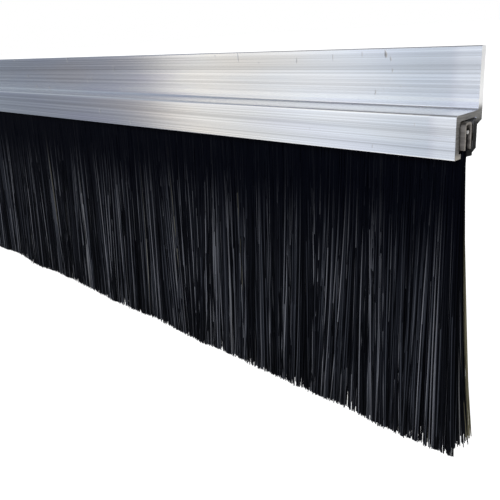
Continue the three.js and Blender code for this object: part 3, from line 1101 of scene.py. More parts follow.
keep_tone.label, keep_tone.location = "Keep tone", (-780, 360)
keep_tone.data_type = "FLOAT"
keep_tone.domain = "POINT"
keep_tone.inputs["Name"].default_value = "strand_tone"
straight = fold.nodes.new("GeometryNodeMeshCylinder")
straight.label, straight.location = "Straight strand", (-980, 40)
straight.fill_type = "NGON"
straight.inputs["Vertices"].default_value = 3
straight.inputs["Side Segments"].default_value = 10
straight.inputs["Radius"].default_value = 1.0
straight.inputs["Depth"].default_value = 1.0
here = fold.nodes.new("GeometryNodeInputPosition")
here.label, here.location = "Place on the strand", (-980, -260)
keep_strand = fold.nodes.new("GeometryNodeStoreNamedAttribute")
keep_strand.label, keep_strand.location = "Keep place on the strand", (-780, 40)
keep_strand.data_type = "FLOAT_VECTOR"
keep_strand.domain = "POINT"
keep_strand.inputs["Name"].default_value = "on_strand"
copies = fold.nodes.new("GeometryNodeInstanceOnPoints")
copies.label, copies.location = "A strand for each loop", (-560, 300)
solid = fold.nodes.new("GeometryNodeRealizeInstances")
solid.label, solid.location = "Realize Instances", (-380, 300)
loop_place = fold.nodes.new("GeometryNodeInputNamedAttribute")
loop_place.label, loop_place.location = "Loop's place", (-780, -200)
loop_place.data_type = "FLOAT_VECTOR"
loop_place.inputs["Name"].default_value = "loop_place"
on_strand = fold.nodes.new("GeometryNodeInputNamedAttribute")
on_strand.label, on_strand.location = "Place on strand", (-780, -400)
on_strand.data_type = "FLOAT_VECTOR"
on_strand.inputs["Name"].default_value = "on_strand"
split_loop = fold.nodes.new("ShaderNodeSeparateXYZ")
split_loop.label, split_loop.location = "Along X and radius", (-560, -200)
split_strand = fold.nodes.new("ShaderNodeSeparateXYZ")
split_strand.label, split_strand.location = "Across and along", (-560, -400)
bend = fold.nodes.new("ShaderNodeMapRange")
bend.label, bend.location = "Angle over the wire", (-360, -300)
bend.inputs["From Min"].default_value = -0.2
bend.inputs["From Max"].default_value = 0.2
bend.inputs["To Min"].default_value = -math.pi / 2
bend.inputs["To Max"].default_value = math.pi / 2
leg_far = fold.nodes.new("ShaderNodeMath")
leg_far.label, leg_far.location = "How far down a leg", (-360, -560)
leg_far.operation = "ABSOLUTE"
leg_share = fold.nodes.new("ShaderNodeMapRange")
leg_share.label, leg_share.location = "Share of the leg", (-180, -560)
leg_share.inputs["From Min"].default_value = 0.2
leg_share.inputs["From Max"].default_value = 0.5
thick = fold.nodes.new("ShaderNodeMath")
thick.label, thick.location = "Strand's own thickness", (-360, -760)
thick.operation = "MULTIPLY"
reach = fold.nodes.new("ShaderNodeMath")
reach.label, reach.location = "Distance from the wire's middle", (-180, -760)
reach.operation = "ADD"
sine = fold.nodes.new("ShaderNodeMath")
sine.label, sine.location = "Front or rear", (-180, -200)
sine.operation = "SINE"
cosine = fold.nodes.new("ShaderNodeMath")
cosine.label, cosine.location = "Over the top", (-180, -380)
cosine.operation = "COSINE"
fold_y = fold.nodes.new("ShaderNodeMath")
fold_y.label, fold_y.location = "Strand's Y", (20, -200)
fold_y.operation = "MULTIPLY_ADD"
fold_z = fold.nodes.new("ShaderNodeMath")
fold_z.label, fold_z.location = "Arc's Z", (20, -380)
fold_z.operation = "MULTIPLY_ADD"
leg_drop = fold.nodes.new("ShaderNodeMath")
leg_drop.label, leg_drop.location = "Leg's drop", (20, -560)
leg_drop.operation = "MULTIPLY"
leg_z = fold.nodes.new("ShaderNodeMath")
leg_z.label, leg_z.location = "Strand's Z", (200, -420)
leg_z.operation = "SUBTRACT"
side_x = fold.nodes.new("ShaderNodeMath")
side_x.label, side_x.location = "Strand's X", (20, -20)
side_x.operation = "MULTIPLY_ADD"
folded = fold.nodes.new("ShaderNodeCombineXYZ")
folded.label, folded.location = "Folded place", (380, -200)
fold_set = fold.nodes.new("GeometryNodeSetPosition")
fold_set.label, fold_set.location = "Fold the strands", (560, 300)
fold_smooth = fold.nodes.new("GeometryNodeSetShadeSmooth")
fold_smooth.label, fold_smooth.location = "Round strands", (740, 300)
fold_paint = fold.nodes.new("GeometryNodeSetMaterial")
fold_paint.label, fold_paint.location = "Set Material", (920, 300)
made = fold.nodes.new("NodeGroupOutput")
made.label, made.location = "Folded filaments", (1100, 300)

for source, out_name, target, in_name in (
    (given, "Row Start", lowest, "X"),
    (given, "Inner Radius", lowest, "Y"),
    (given, "Row End", highest, "X"),
    (given, "Outer Radius", highest, "Y"),
    (lowest, "Vector", scatter, "Min"),
    (highest, "Vector", scatter, "Max"),
    (given, "Loops", starts, "Count"),
    (starts, "Points", keep_place, "Geometry"),
    (scatter, "Value", keep_place, "Value"),
    (keep_place, "Geometry", keep_tone, "Geometry"),
    (tone, 1, keep_tone, "Value"),
    (straight, "Mesh", keep_strand, "Geometry"),
    (here, "Position", keep_strand, "Value"),
    (keep_tone, "Geometry", copies, "Points"),
    (keep_strand, "Geometry", copies, "Instance"),
    (copies, "Instances", solid, "Geometry"),
    (loop_place, "Attribute", split_loop, "Vector"),
    (on_strand, "Attribute", split_strand, "Vector"),
    (split_strand, "Z", bend, "Value"),
    (split_strand, "Z", leg_far, 0),
    (leg_far, "Value", leg_share, "Value"),
    (split_strand, "Y", thick, 0),
    (given, "Filament Radius", thick, 1),
    (thick, "Value", reach, 0),
    (split_loop, "Y", reach, 1),
    (bend, "Result", sine, 0),
    (bend, "Result", cosine, 0),
    (sine, "Value", fold_y, 0),
    (reach, "Value", fold_y, 1),
    (given, "Wire Y", fold_y, 2),
    (cosine, "Value", fold_z, 0),
    (reach, "Value", fold_z, 1),
    (given, "Wire Z", fold_z, 2),
    (leg_share, "Result", leg_drop, 0),
    (given, "Leg Length", leg_drop, 1),
    (fold_z, "Value", leg_z, 0),
    (leg_drop, "Value", leg_z, 1),
    (split_strand, "X", side_x, 0),
    (given, "Filament Radius", side_x, 1),
    (split_loop, "X", side_x, 2),
    (side_x, "Value", folded, "X"),
    (fold_y, "Value", folded, "Y"),
    (leg_z, "Value", folded, "Z"),
    (solid, "Geometry", fold_set, "Geometry"),
    (folded, "Vector", fold_set, "Position"),
    (fold_set, "Geometry", fold_smooth, "Geometry"),
    (fold_smooth, 0, fold_paint, "Geometry"),
    (given, "Material", fold_paint, "Material"),
    (fold_paint, "Geometry", made, "Geometry"),
):
    fold.links.new(source.outputs[out_name], target.inputs[in_name])


def grown_piece(name, tree, sizes):
    """Runs a node tree with the named sizes once, and keeps the result as a plain mesh piece."""
    piece = bpy.data.objects.new(name, bpy.data.meshes.new(name + "_seed"))
    scene.collection.objects.link(piece)
    modifier = piece.modifiers.new("grow", "NODES")
    modifier.node_group = tree
    for item in tree.interface.items_tree:
        if item.item_type == "SOCKET" and item.in_out == "INPUT" and item.name in sizes:
            modifier[item.identifier] = sizes[item.name]
    evaluated = piece.evaluated_get(bpy.context.evaluated_depsgraph_get())
    mesh = bpy.data.meshes.new_from_object(evaluated)
    piece.modifiers.remove(modifier)
    piece.data = mesh
    mesh.name = name
    mesh.materials.clear()
    mesh.materials.append(sizes["Material"])
    mesh.polygons.foreach_set("material_index", [0] * len(mesh.polygons))
    for spare in ("loop_place", "on_strand", "root_place", "stray_pull", "UVMap"):
        if spare in mesh.attributes:
            mesh.attributes.remove(mesh.attributes[spare])
    return piece


FOLDED_LOOPS = 1300
FOLD_RECESS = 0.0007  # the last loops sit just inside the channel's end
FOLD_START = 0.0003
FOLD_STRAND_RADIUS = 0.0002
FOLD_OUTER_GAP = 0.0005  # how far from the wire the outer loops lie
fold_low, fold_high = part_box("filament_root")
fold_piece = grown_piece(
    "folded_filaments",
    fold,
    {
        "Loops": FOLDED_LOOPS,
        "Row Start": float(fold_low[0]) + FOLD_START,
        "Row End": float(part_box("brush_channel")[1][0]) - FOLD_RECESS,
        "Wire Y": wire_y,
        "Wire Z": wire_z,
        "Inner Radius": wire_radius + FOLD_STRAND_RADIUS,
        "Outer Radius": wire_radius + FOLD_OUTER_GAP,
        "Leg Length": float(wire_z - fold_low[2]),
        "Filament Radius": FOLD_STRAND_RADIUS,
        "Material": filament_black,
    },
)
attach(fold_piece, "brush_strip")
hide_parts("filament_root")


# ---------------------------------------------------------------------------------------------
# Bristles. Both legs of every filament hang out of the channel and fan out towards their tips,
# which are trimmed roughly level. They bunch into small tufts, cross and stray, and with nothing
# beyond them the ones at the two ends splay outward. They are grown in twelve pieces.
# ---------------------------------------------------------------------------------------------
fan = bpy.data.node_groups.new("hanging_filaments", "GeometryNodeTree")
for socket, kind in (
    ("Geometry", "NodeSocketGeometry"),
    ("Filaments", "NodeSocketInt"),
    ("Seed", "NodeSocketInt"),
    ("Row Start", "NodeSocketFloat"),
    ("Row End", "NodeSocketFloat"),
    ("Strip Y", "NodeSocketFloat"),
    ("Root Z", "NodeSocketFloat"),
    ("Length", "NodeSocketFloat"),
    ("Filament Radius", "NodeSocketFloat"),
    ("Root Half Depth", "NodeSocketFloat"),
    ("Tip Half Depth", "NodeSocketFloat"),
    ("Tuft Pull", "NodeSocketVector"),
    ("Bundle Lean", "NodeSocketVector"),
    ("Trim Wave", "NodeSocketFloat"),
    ("Stray", "NodeSocketVector"),
    ("Bow", "NodeSocketFloat"),
    ("Brush Start", "NodeSocketFloat"),
    ("Brush End", "NodeSocketFloat"),
    ("End Reach", "NodeSocketFloat"),
    ("End Splay", "NodeSocketFloat"),
    ("End Lift", "NodeSocketFloat"),
    ("Painted Highlight Edge", "NodeSocketFloat"),
    ("Material", "NodeSocketMaterial"),
):
    fan.interface.new_socket(socket, in_out="INPUT", socket_type=kind)
fan.interface.new_socket("Geometry", in_out="OUTPUT", socket_type="NodeSocketGeometry")

given = fan.nodes.new("NodeGroupInput")
given.label = "Sizes"
lowest = fan.nodes.new("ShaderNodeCombineXYZ")
lowest.label = "Row start, front"
lowest.inputs["Y"].default_value = -1.0
lowest.inputs["Z"].default_value = -1.0
highest = fan.nodes.new("ShaderNodeCombineXYZ")
highest.label = "Row end, rear"
highest.inputs["Y"].default_value = 1.0
highest.inputs["Z"].default_value = 1.0
scatter = fan.nodes.new("FunctionNodeRandomValue")
scatter.label = "Where each filament leaves the channel"
scatter.data_type = "FLOAT_VECTOR"
stray_seed = fan.nodes.new("ShaderNodeMath")
stray_seed.label = "Seed for strays"
stray_seed.operation = "ADD"
stray_seed.inputs[1].default_value = 100.0
stray = fan.nodes.new("FunctionNodeRandomValue")
stray.label = "Where each filament strays"
stray.data_type = "FLOAT_VECTOR"
stray.inputs["Min"].default_value = (-1, -1, -1)
stray.inputs["Max"].default_value = (1, 1, 1)
tone_seed = fan.nodes.new("ShaderNodeMath")
tone_seed.label = "Seed for tones"
tone_seed.operation = "ADD"
tone_seed.inputs[1].default_value = 200.0
tone = fan.nodes.new("FunctionNodeRandomValue")
tone.label = "Tone of each strand"
tone.data_type = "FLOAT"
split_place = fan.nodes.new("ShaderNodeSeparateXYZ")
split_place.label = "Place in the row"
edge_from = fan.nodes.new("ShaderNodeMath")
edge_from.label = "Where the faded edge begins"
edge_from.operation = "SUBTRACT"
at_edge = fan.nodes.new("ShaderNodeMath")
at_edge.label = "At the +X edge"
at_edge.operation = "GREATER_THAN"
at_rear = fan.nodes.new("ShaderNodeMath")
at_rear.label = "In the rear rows"
at_rear.operation = "GREATER_THAN"
at_rear.inputs[1].default_value = 0.35
# painted highlight: rear-row strands at the +X edge take the top, olive tone
highlighted = fan.nodes.new("ShaderNodeMath")
highlighted.label = "Painted olive highlight at the +X edge"
highlighted.operation = "MULTIPLY"
tone_lit = fan.nodes.new("ShaderNodeMath")
tone_lit.label = "Tone with faded strands"
tone_lit.operation = "MAXIMUM"
starts = fan.nodes.new("GeometryNodePoints")
starts.label = "One point for each filament"
keep_root = fan.nodes.new("GeometryNodeStoreNamedAttribute")
keep_root.label = "Keep root's place"
keep_root.data_type = "FLOAT_VECTOR"
keep_root.domain = "POINT"
keep_root.inputs["Name"].default_value = "root_place"
keep_stray = fan.nodes.new("GeometryNodeStoreNamedAttribute")
keep_stray.label = "Keep stray"
keep_stray.data_type = "FLOAT_VECTOR"
keep_stray.domain = "POINT"
keep_stray.inputs["Name"].default_value = "stray_pull"
keep_tone = fan.nodes.new("GeometryNodeStoreNamedAttribute")
keep_tone.label = "Keep tone"
keep_tone.data_type = "FLOAT"
keep_tone.domain = "POINT"
keep_tone.inputs["Name"].default_value = "strand_tone"
straight = fan.nodes.new("GeometryNodeMeshCylinder")
straight.label = "Straight filament"
straight.fill_type = "NGON"
straight.inputs["Vertices"].default_value = 3
straight.inputs["Side Segments"].default_value = 7
straight.inputs["Radius"].default_value = 1.0
straight.inputs["Depth"].default_value = 1.0
here = fan.nodes.new("GeometryNodeInputPosition")
here.label = "Place on the filament"
keep_strand = fan.nodes.new("GeometryNodeStoreNamedAttribute")
keep_strand.label = "Keep place on the filament"
keep_strand.data_type = "FLOAT_VECTOR"
keep_strand.domain = "POINT"
keep_strand.inputs["Name"].default_value = "on_strand"
copies = fan.nodes.new("GeometryNodeInstanceOnPoints")
copies.label = "A strand for each root"
solid = fan.nodes.new("GeometryNodeRealizeInstances")
solid.label = "Realize Instances"
root_place = fan.nodes.new("GeometryNodeInputNamedAttribute")
root_place.label = "Root's place"
root_place.data_type = "FLOAT_VECTOR"
root_place.inputs["Name"].default_value = "root_place"
stray_pull = fan.nodes.new("GeometryNodeInputNamedAttribute")
stray_pull.label = "Stray pull"
stray_pull.data_type = "FLOAT_VECTOR"
stray_pull.inputs["Name"].default_value = "stray_pull"
on_strand = fan.nodes.new("GeometryNodeInputNamedAttribute")
on_strand.label = "Place on filament"
on_strand.data_type = "FLOAT_VECTOR"
on_strand.inputs["Name"].default_value = "on_strand"
split_root = fan.nodes.new("ShaderNodeSeparateXYZ")
split_root.label = "Along the row and across it"
split_strand = fan.nodes.new("ShaderNodeSeparateXYZ")
split_strand.label = "Round and down the strand"
quarter_turn = fan.nodes.new("ShaderNodeMath")
quarter_turn.label = "Across as an angle"
quarter_turn.operation = "MULTIPLY"
quarter_turn.inputs[1].default_value = math.pi / 2
outer_more = fan.nodes.new("ShaderNodeMath")
outer_more.label = "More strands at front and rear"
outer_more.operation = "SINE"
even_down = fan.nodes.new("ShaderNodeMath")
even_down.label = "Rings evenly down"
even_down.operation = "SUBTRACT"
even_down.inputs[0].default_value = 0.5
down = fan.nodes.new("ShaderNodeMath")
down.label = "Share of the way down, rings closer near the channel"
down.operation = "POWER"
down.inputs[1].default_value = 1.5
open_share = fan.nodes.new("ShaderNodeMath")
open_share.label = "How the fan opens"
open_share.operation = "POWER"
open_share.inputs[1].default_value = 1.15
tuft_share = fan.nodes.new("ShaderNodeMath")
tuft_share.label = "How tufts gather"
tuft_share.operation = "POWER"
tuft_share.inputs[1].default_value = 2.0
stray_share = fan.nodes.new("ShaderNodeMath")
stray_share.label = "How strays lean"
stray_share.operation = "POWER"
stray_share.inputs[1].default_value = 1.3
splay_share = fan.nodes.new("ShaderNodeMath")
splay_share.label = "How the ends splay"
splay_share.operation = "POWER"
splay_share.inputs[1].default_value = 1.9
half_turn = fan.nodes.new("ShaderNodeMath")
half_turn.label = "Half a turn down the strand"
half_turn.operation = "MULTIPLY"
half_turn.inputs[1].default_value = math.pi
bow_share = fan.nodes.new("ShaderNodeMath")
bow_share.label = "Bowed in the middle"
bow_share.operation = "SINE"

fan_more = fan.nodes.new("ShaderNodeMath")
fan_more.label = "Tip depth less root depth"
fan_more.operation = "SUBTRACT"
fan_depth = fan.nodes.new("ShaderNodeMath")
fan_depth.label = "Half depth this far down"
fan_depth.operation = "MULTIPLY_ADD"
line_y = fan.nodes.new("ShaderNodeMath")
line_y.label = "Strand's Y"
line_y.operation = "MULTIPLY_ADD"
length_down = fan.nodes.new("ShaderNodeMath")
length_down.label = "Distance down"
length_down.operation = "MULTIPLY"
line_z = fan.nodes.new("ShaderNodeMath")
line_z.label = "Strand's Z"
line_z.operation = "SUBTRACT"
line = fan.nodes.new("ShaderNodeCombineXYZ")
line.label = "Straight fanned strand"

tip_y = fan.nodes.new("ShaderNodeMath")
tip_y.label = "Where its tip sits across"
tip_y.operation = "MULTIPLY"
tip_spot = fan.nodes.new("ShaderNodeCombineXYZ")
tip_spot.label = "Where its tip sits"
tuft_noise = fan.nodes.new("ShaderNodeTexNoise")
tuft_noise.label = "Small tufts"
tuft_noise.inputs["Scale"].default_value = 135.0
tuft_noise.inputs["Detail"].default_value = 2.0
tuft_centre = fan.nodes.new("ShaderNodeVectorMath")
tuft_centre.label = "Either way"
tuft_centre.operation = "SUBTRACT"
tuft_centre.inputs[1].default_value = (0.5, 0.5, 0.5)
tuft_scaled = fan.nodes.new("ShaderNodeVectorMath")
tuft_scaled.label = "Strength of the tufts"
tuft_scaled.operation = "MULTIPLY"
tuft_move = fan.nodes.new("ShaderNodeVectorMath")
tuft_move.label = "Gather into tufts"
tuft_move.operation = "SCALE"
lean_spot = fan.nodes.new("ShaderNodeVectorMath")
lean_spot.label = "Each depth leans its own way"
lean_spot.operation = "MULTIPLY"
lean_spot.inputs[1].default_value = (38.0, 260.0, 1.0)
lean_noise = fan.nodes.new("ShaderNodeTexNoise")
lean_noise.label = "Bundles that lean together"
lean_noise.inputs["Scale"].default_value = 1.0
lean_noise.inputs["Detail"].default_value = 1.0
lean_centre = fan.nodes.new("ShaderNodeVectorMath")
lean_centre.label = "Lean either way"
lean_centre.operation = "SUBTRACT"
lean_centre.inputs[1].default_value = (0.5, 0.5, 0.5)
lean_scaled = fan.nodes.new("ShaderNodeVectorMath")
lean_scaled.label = "Strength of the lean"
lean_scaled.operation = "MULTIPLY"
lean_move = fan.nodes.new("ShaderNodeVectorMath")
lean_move.label = "Lean in bundles"
lean_move.operation = "SCALE"
end_calm = fan.nodes.new("ShaderNodeMath")
end_calm.label = "Ends lean together"
end_calm.operation = "MULTIPLY_ADD"
end_calm.inputs[1].default_value = -0.8
end_calm.inputs[2].default_value = 1.0
lean_share = fan.nodes.new("ShaderNodeMath")
lean_share.label = "Lean this far down"
lean_share.operation = "MULTIPLY"
wave_noise = fan.nodes.new("ShaderNodeTexNoise")
wave_noise.label = "Uneven trim"
wave_noise.inputs["Scale"].default_value = 21.0
wave_noise.inputs["Detail"].default_value = 3.0
wave_range = fan.nodes.new("ShaderNodeMapRange")
wave_range.label = "Long and short stretches"
wave_range.inputs["From Min"].default_value = 0.3
wave_range.inputs["From Max"].default_value = 0.7
wave_range.inputs["To Min"].default_value = -1.0
wave_range.inputs["To Max"].default_value = 1.0
wave_size = fan.nodes.new("ShaderNodeMath")
wave_size.label = "Size of the trim wave"
wave_size.operation = "MULTIPLY"
wave_drop = fan.nodes.new("ShaderNodeMath")
wave_drop.label = "Trim wave this far down"
wave_drop.operation = "MULTIPLY"
stray_scaled = fan.nodes.new("ShaderNodeVectorMath")
stray_scaled.label = "Strength of the strays"
stray_scaled.operation = "MULTIPLY"
stray_move = fan.nodes.new("ShaderNodeVectorMath")
stray_move.label = "Lean and length of its own"
stray_move.operation = "SCALE"
bow_side = fan.nodes.new("ShaderNodeMath")
bow_side.label = "Bow either way"
bow_side.operation = "MULTIPLY"
bow_move = fan.nodes.new("ShaderNodeMath")
bow_move.label = "Bow"
bow_move.operation = "MULTIPLY"

near_from = fan.nodes.new("ShaderNodeMath")
near_from.label = "Where the +X splay begins"
near_from.operation = "SUBTRACT"
near_end = fan.nodes.new("ShaderNodeMapRange")
near_end.label = "Near the +X end"
near_end.inputs["To Min"].default_value = 0.0
near_end.inputs["To Max"].default_value = 1.0
far_from = fan.nodes.new("ShaderNodeMath")
far_from.label = "Where the -X splay begins"
far_from.operation = "ADD"
far_end = fan.nodes.new("ShaderNodeMapRange")
far_end.label = "Near the -X end"
far_end.inputs["To Min"].default_value = 0.0
far_end.inputs["To Max"].default_value = 1.0
near_curve = fan.nodes.new("ShaderNodeMath")
near_curve.label = "+X splay grows outward"
near_curve.operation = "POWER"
near_curve.inputs[1].default_value = 1.6
far_curve = fan.nodes.new("ShaderNodeMath")
far_curve.label = "-X splay grows outward"
far_curve.operation = "POWER"
far_curve.inputs[1].default_value = 1.6
splay_way = fan.nodes.new("ShaderNodeMath")
splay_way.label = "Outward at either end"
splay_way.operation = "SUBTRACT"
splay_size = fan.nodes.new("ShaderNodeMath")
splay_size.label = "Splay at the tips"
splay_size.operation = "MULTIPLY"
splay_move = fan.nodes.new("ShaderNodeMath")
splay_move.label = "Splay this far down"
splay_move.operation = "MULTIPLY"
lift_size = fan.nodes.new("ShaderNodeMath")
lift_size.label = "Splayed tips ride up"
lift_size.operation = "ABSOLUTE"
lift_scaled = fan.nodes.new("ShaderNodeMath")
lift_scaled.label = "Lift at the tips"
lift_scaled.operation = "MULTIPLY"
lift_move = fan.nodes.new("ShaderNodeMath")
lift_move.label = "Lift this far down"
lift_move.operation = "MULTIPLY"
end_x = fan.nodes.new("ShaderNodeMath")
end_x.label = "Splay and bow"
end_x.operation = "ADD"
end_z = fan.nodes.new("ShaderNodeMath")
end_z.label = "Lift and trim"
end_z.operation = "ADD"
end_move = fan.nodes.new("ShaderNodeCombineXYZ")
end_move.label = "Splay, bow, lift and trim"

taper = fan.nodes.new("ShaderNodeMapRange")
taper.label = "Tip narrows"
taper.inputs["From Min"].default_value = 0.85
taper.inputs["From Max"].default_value = 1.0
taper.inputs["To Min"].default_value = 1.0
taper.inputs["To Max"].default_value = 0.8
round_size = fan.nodes.new("ShaderNodeMath")
round_size.label = "Radius this far down"
round_size.operation = "MULTIPLY"
round_flat = fan.nodes.new("ShaderNodeCombineXYZ")
round_flat.label = "Round the strand"
round_move = fan.nodes.new("ShaderNodeVectorMath")
round_move.label = "Skin of the strand"
round_move.operation = "SCALE"

add_tuft = fan.nodes.new("ShaderNodeVectorMath")
add_tuft.label = "With tufts"
add_tuft.operation = "ADD"
add_lean = fan.nodes.new("ShaderNodeVectorMath")
add_lean.label = "With leaning bundles"
add_lean.operation = "ADD"
add_stray = fan.nodes.new("ShaderNodeVectorMath")
add_stray.label = "With strays"
add_stray.operation = "ADD"
add_end = fan.nodes.new("ShaderNodeVectorMath")
add_end.label = "With splayed ends"
add_end.operation = "ADD"
add_round = fan.nodes.new("ShaderNodeVectorMath")
add_round.label = "With thickness"
add_round.operation = "ADD"
keep_reach = fan.nodes.new("GeometryNodeStoreNamedAttribute")
keep_reach.label = "Keep how far down"
keep_reach.data_type = "FLOAT"
keep_reach.domain = "POINT"
keep_reach.inputs["Name"].default_value = "strand_reach"
fan_set = fan.nodes.new("GeometryNodeSetPosition")
fan_set.label = "Hang the strands"
fan_smooth = fan.nodes.new("GeometryNodeSetShadeSmooth")
fan_smooth.label = "Round strands"
fan_paint = fan.nodes.new("GeometryNodeSetMaterial")
fan_paint.label = "Set Material"
made = fan.nodes.new("NodeGroupOutput")
made.label = "Hanging filaments"
for spot, node in enumerate(fan.nodes):
    node.location = (200 * (spot // 8) - 2000, 900 - 240 * (spot % 8))

for source, out_name, target, in_name in (
    (given, "Row Start", lowest, "X"),
    (given, "Row End", highest, "X"),
    (lowest, "Vector", scatter, "Min"),
    (highest, "Vector", scatter, "Max"),
    (given, "Seed", scatter, "Seed"),
    (given, "Seed", stray_seed, 0),
    (stray_seed, "Value", stray, "Seed"),
    (given, "Seed", tone_seed, 0),
    (tone_seed, "Value", tone, "Seed"),
    (given, "Filaments", starts, "Count"),
    (starts, "Points", keep_root, "Geometry"),
    (scatter, "Value", keep_root, "Value"),
    (keep_root, "Geometry", keep_stray, "Geometry"),
    (stray, "Value", keep_stray, "Value"),
    (keep_stray, "Geometry", keep_tone, "Geometry"),
    (scatter, "Value", split_place, "Vector"),
    (given, "Brush End", edge_from, 0),
    (given, "Painted Highlight Edge", edge_from, 1),
    (split_place, "X", at_edge, 0),
    (edge_from, "Value", at_edge, 1),
    (split_place, "Y", at_rear, 0),
    (at_edge, "Value", highlighted, 0),
    (at_rear, "Value", highlighted, 1),
    (tone, 1, tone_lit, 0),
    (highlighted, "Value", tone_lit, 1),
    (tone_lit, "Value", keep_tone, "Value"),
    (straight, "Mesh", keep_strand, "Geometry"),
    (here, "Position", keep_strand, "Value"),
    (keep_tone, "Geometry", copies, "Points"),
    (keep_strand, "Geometry", copies, "Instance"),
    (copies, "Instances", solid, "Geometry"),
    (root_place, "Attribute", split_root, "Vector"),
    (on_strand, "Attribute", split_strand, "Vector"),
    (split_strand, "Z", even_down, 1),
    (even_down, "Value", down, 0),
    (down, "Value", open_share, 0),
    (down, "Value", tuft_share, 0),
    (down, "Value", stray_share, 0),
    (down, "Value", splay_share, 0),
    (down, "Value", half_turn, 0),
    (half_turn, "Value", bow_share, 0),
    (given, "Tip Half Depth", fan_more, 0),
    (given, "Root Half Depth", fan_more, 1),
    (open_share, "Value", fan_depth, 0),
    (fan_more, "Value", fan_depth, 1),
    (given, "Root Half Depth", fan_depth, 2),
    (split_root, "Y", quarter_turn, 0),
    (quarter_turn, "Value", outer_more, 0),
    (outer_more, "Value", line_y, 0),
    (fan_depth, "Value", line_y, 1),
    (given, "Strip Y", line_y, 2),
    (given, "Length", length_down, 0),
    (down, "Value", length_down, 1),
    (given, "Root Z", line_z, 0),
    (length_down, "Value", line_z, 1),
    (split_root, "X", line, "X"),
    (line_y, "Value", line, "Y"),
    (line_z, "Value", line, "Z"),
    (outer_more, "Value", tip_y, 0),
    (given, "Tip Half Depth", tip_y, 1),
    (split_root, "X", tip_spot, "X"),
    (tip_y, "Value", tip_spot, "Y"),
    (tip_spot, "Vector", tuft_noise, "Vector"),
    (tuft_noise, "Color", tuft_centre, 0),
    (tuft_centre, "Vector", tuft_scaled, 0),
    (given, "Tuft Pull", tuft_scaled, 1),
    (tuft_scaled, "Vector", tuft_move, 0),
    (tuft_share, "Value", tuft_move, "Scale"),
    (tip_spot, "Vector", lean_spot, 0),
    (lean_spot, "Vector", lean_noise, "Vector"),
    (lean_noise, "Color", lean_centre, 0),
    (lean_centre, "Vector", lean_scaled, 0),
    (given, "Bundle Lean", lean_scaled, 1),
    (lean_scaled, "Vector", lean_move, 0),
    (lift_size, "Value", end_calm, 0),
    (stray_share, "Value", lean_share, 0),
    (end_calm, "Value", lean_share, 1),
    (lean_share, "Value", lean_move, "Scale"),
    (tip_spot, "Vector", wave_noise, "Vector"),
    (wave_noise, "Fac", wave_range, "Value"),
    (wave_range, "Result", wave_size, 0),
    (given, "Trim Wave", wave_size, 1),
    (wave_size, "Value", wave_drop, 0),
    (tuft_share, "Value", wave_drop, 1),
    (stray_pull, "Attribute", stray_scaled, 0),
    (given, "Stray", stray_scaled, 1),
    (stray_scaled, "Vector", stray_move, 0),
    (lean_share, "Value", stray_move, "Scale"),
    (split_root, "Z", bow_side, 0),
    (given, "Bow", bow_side, 1),
    (bow_side, "Value", bow_move, 0),
    (bow_share, "Value", bow_move, 1),
    (given, "Brush End", near_from, 0),
    (given, "End Reach", near_from, 1),
    (split_root, "X", near_end, "Value"),
    (near_from, "Value", near_end, "From Min"),
    (given, "Brush End", near_end, "From Max"),
    (given, "Brush Start", far_from, 0),
    (given, "End Reach", far_from, 1),
    (split_root, "X", far_end, "Value"),
    (far_from, "Value", far_end, "From Min"),
    (given, "Brush Start", far_end, "From Max"),
    (near_end, "Result", near_curve, 0),
    (far_end, "Result", far_curve, 0),
    (near_curve, "Value", splay_way, 0),
    (far_curve, "Value", splay_way, 1),
    (splay_way, "Value", splay_size, 0),
    (given, "End Splay", splay_size, 1),
    (splay_size, "Value", splay_move, 0),
    (splay_share, "Value", splay_move, 1),
    (splay_way, "Value", lift_size, 0),
    (lift_size, "Value", lift_scaled, 0),
    (given, "End Lift", lift_scaled, 1),
    (lift_scaled, "Value", lift_move, 0),
    (splay_share, "Value", lift_move, 1),
    (splay_move, "Value", end_x, 0),
    (bow_move, "Value", end_x, 1),
    (lift_move, "Value", end_z, 0),
    (wave_drop, "Value", end_z, 1),
    (end_x, "Value", end_move, "X"),
    (end_z, "Value", end_move, "Z"),
    (down, "Value", taper, "Value"),
    (taper, "Result", round_size, 0),
    (given, "Filament Radius", round_size, 1),
    (split_strand, "X", round_flat, "X"),
    (split_strand, "Y", round_flat, "Y"),
    (round_flat, "Vector", round_move, 0),
    (round_size, "Value", round_move, "Scale"),
    (line, "Vector", add_tuft, 0),
    (tuft_move, "Vector", add_tuft, 1),
    (add_tuft, "Vector", add_lean, 0),
    (lean_move, "Vector", add_lean, 1),
    (add_lean, "Vector", add_stray, 0),
    (stray_move, "Vector", add_stray, 1),
    (add_stray, "Vector", add_end, 0),
    (end_move, "Vector", add_end, 1),
    (add_end, "Vector", add_round, 0),
    (round_move, "Vector", add_round, 1),
    (solid, "Geometry", keep_reach, "Geometry"),
    (down, "Value", keep_reach, "Value"),
    (keep_reach, "Geometry", fan_set, "Geometry"),
    (add_round, "Vector", fan_set, "Position"),
    (fan_set, "Geometry", fan_smooth, "Geometry"),
    (fan_smooth, 0, fan_paint, "Geometry"),
    (given, "Material", fan_paint, "Material"),
    (fan_paint, "Geometry", made, "Geometry"),
):
    fan.links.new(source.outputs[out_name], target.inputs[in_name])

FILAMENTS_A_SECTION = 3000
FILAMENT_RADIUS = 0.00026
ROOT_HALF_DEPTH = 0.00105
TIP_HALF_DEPTH = 0.0085
TIPS_BELOW_CAD = 0.0014  # untrimmed and unsplayed, the tips hang this far below the solid
END_STRANDS_PAST_FOLD = 0.0008
ROOTS_ABOVE_LIPS = 0.0024

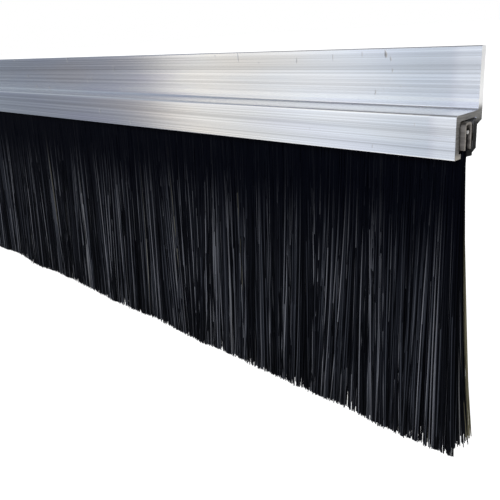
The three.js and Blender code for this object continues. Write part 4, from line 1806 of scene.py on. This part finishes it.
sections = [f"bristle_section_{i:02d}" for i in range(1, 13)]
brush_start = float(fold_low[0])
brush_end = float(fold_high[0]) + END_STRANDS_PAST_FOLD
section_length = (brush_end - brush_start) / len(sections)
lips = HOLDER_BOTTOM
root_z = lips + ROOTS_ABOVE_LIPS
tips_z = float(cad_low.z) - TIPS_BELOW_CAD

for number, section in enumerate(sections):
    row_start = brush_start + number * section_length
    bristles = grown_piece(
        f"filaments_{number + 1:02d}",
        fan,
        {
            "Filaments": FILAMENTS_A_SECTION,
            "Seed": 40 + number,
            "Row Start": row_start,
            "Row End": row_start + section_length,
            "Strip Y": wire_y,
            "Root Z": root_z,
            "Length": root_z - tips_z,
            "Filament Radius": FILAMENT_RADIUS,
            "Root Half Depth": ROOT_HALF_DEPTH,
            "Tip Half Depth": TIP_HALF_DEPTH,
            "Tuft Pull": (0.0070, 0.0035, 0.0022),
            "Bundle Lean": (0.0320, 0.0, 0.0),
            "Trim Wave": 0.0020,
            "Stray": (0.0034, 0.0008, 0.0003),
            "Bow": 0.0012,
            "Brush Start": brush_start,
            "Brush End": brush_end,
            "End Reach": 0.034,
            "End Splay": 0.0050,
            "End Lift": 0.0010,
            "Painted Highlight Edge": 0.0008,
            "Material": filament_black,
        },
    )
    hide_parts(section)
    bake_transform(bristles)
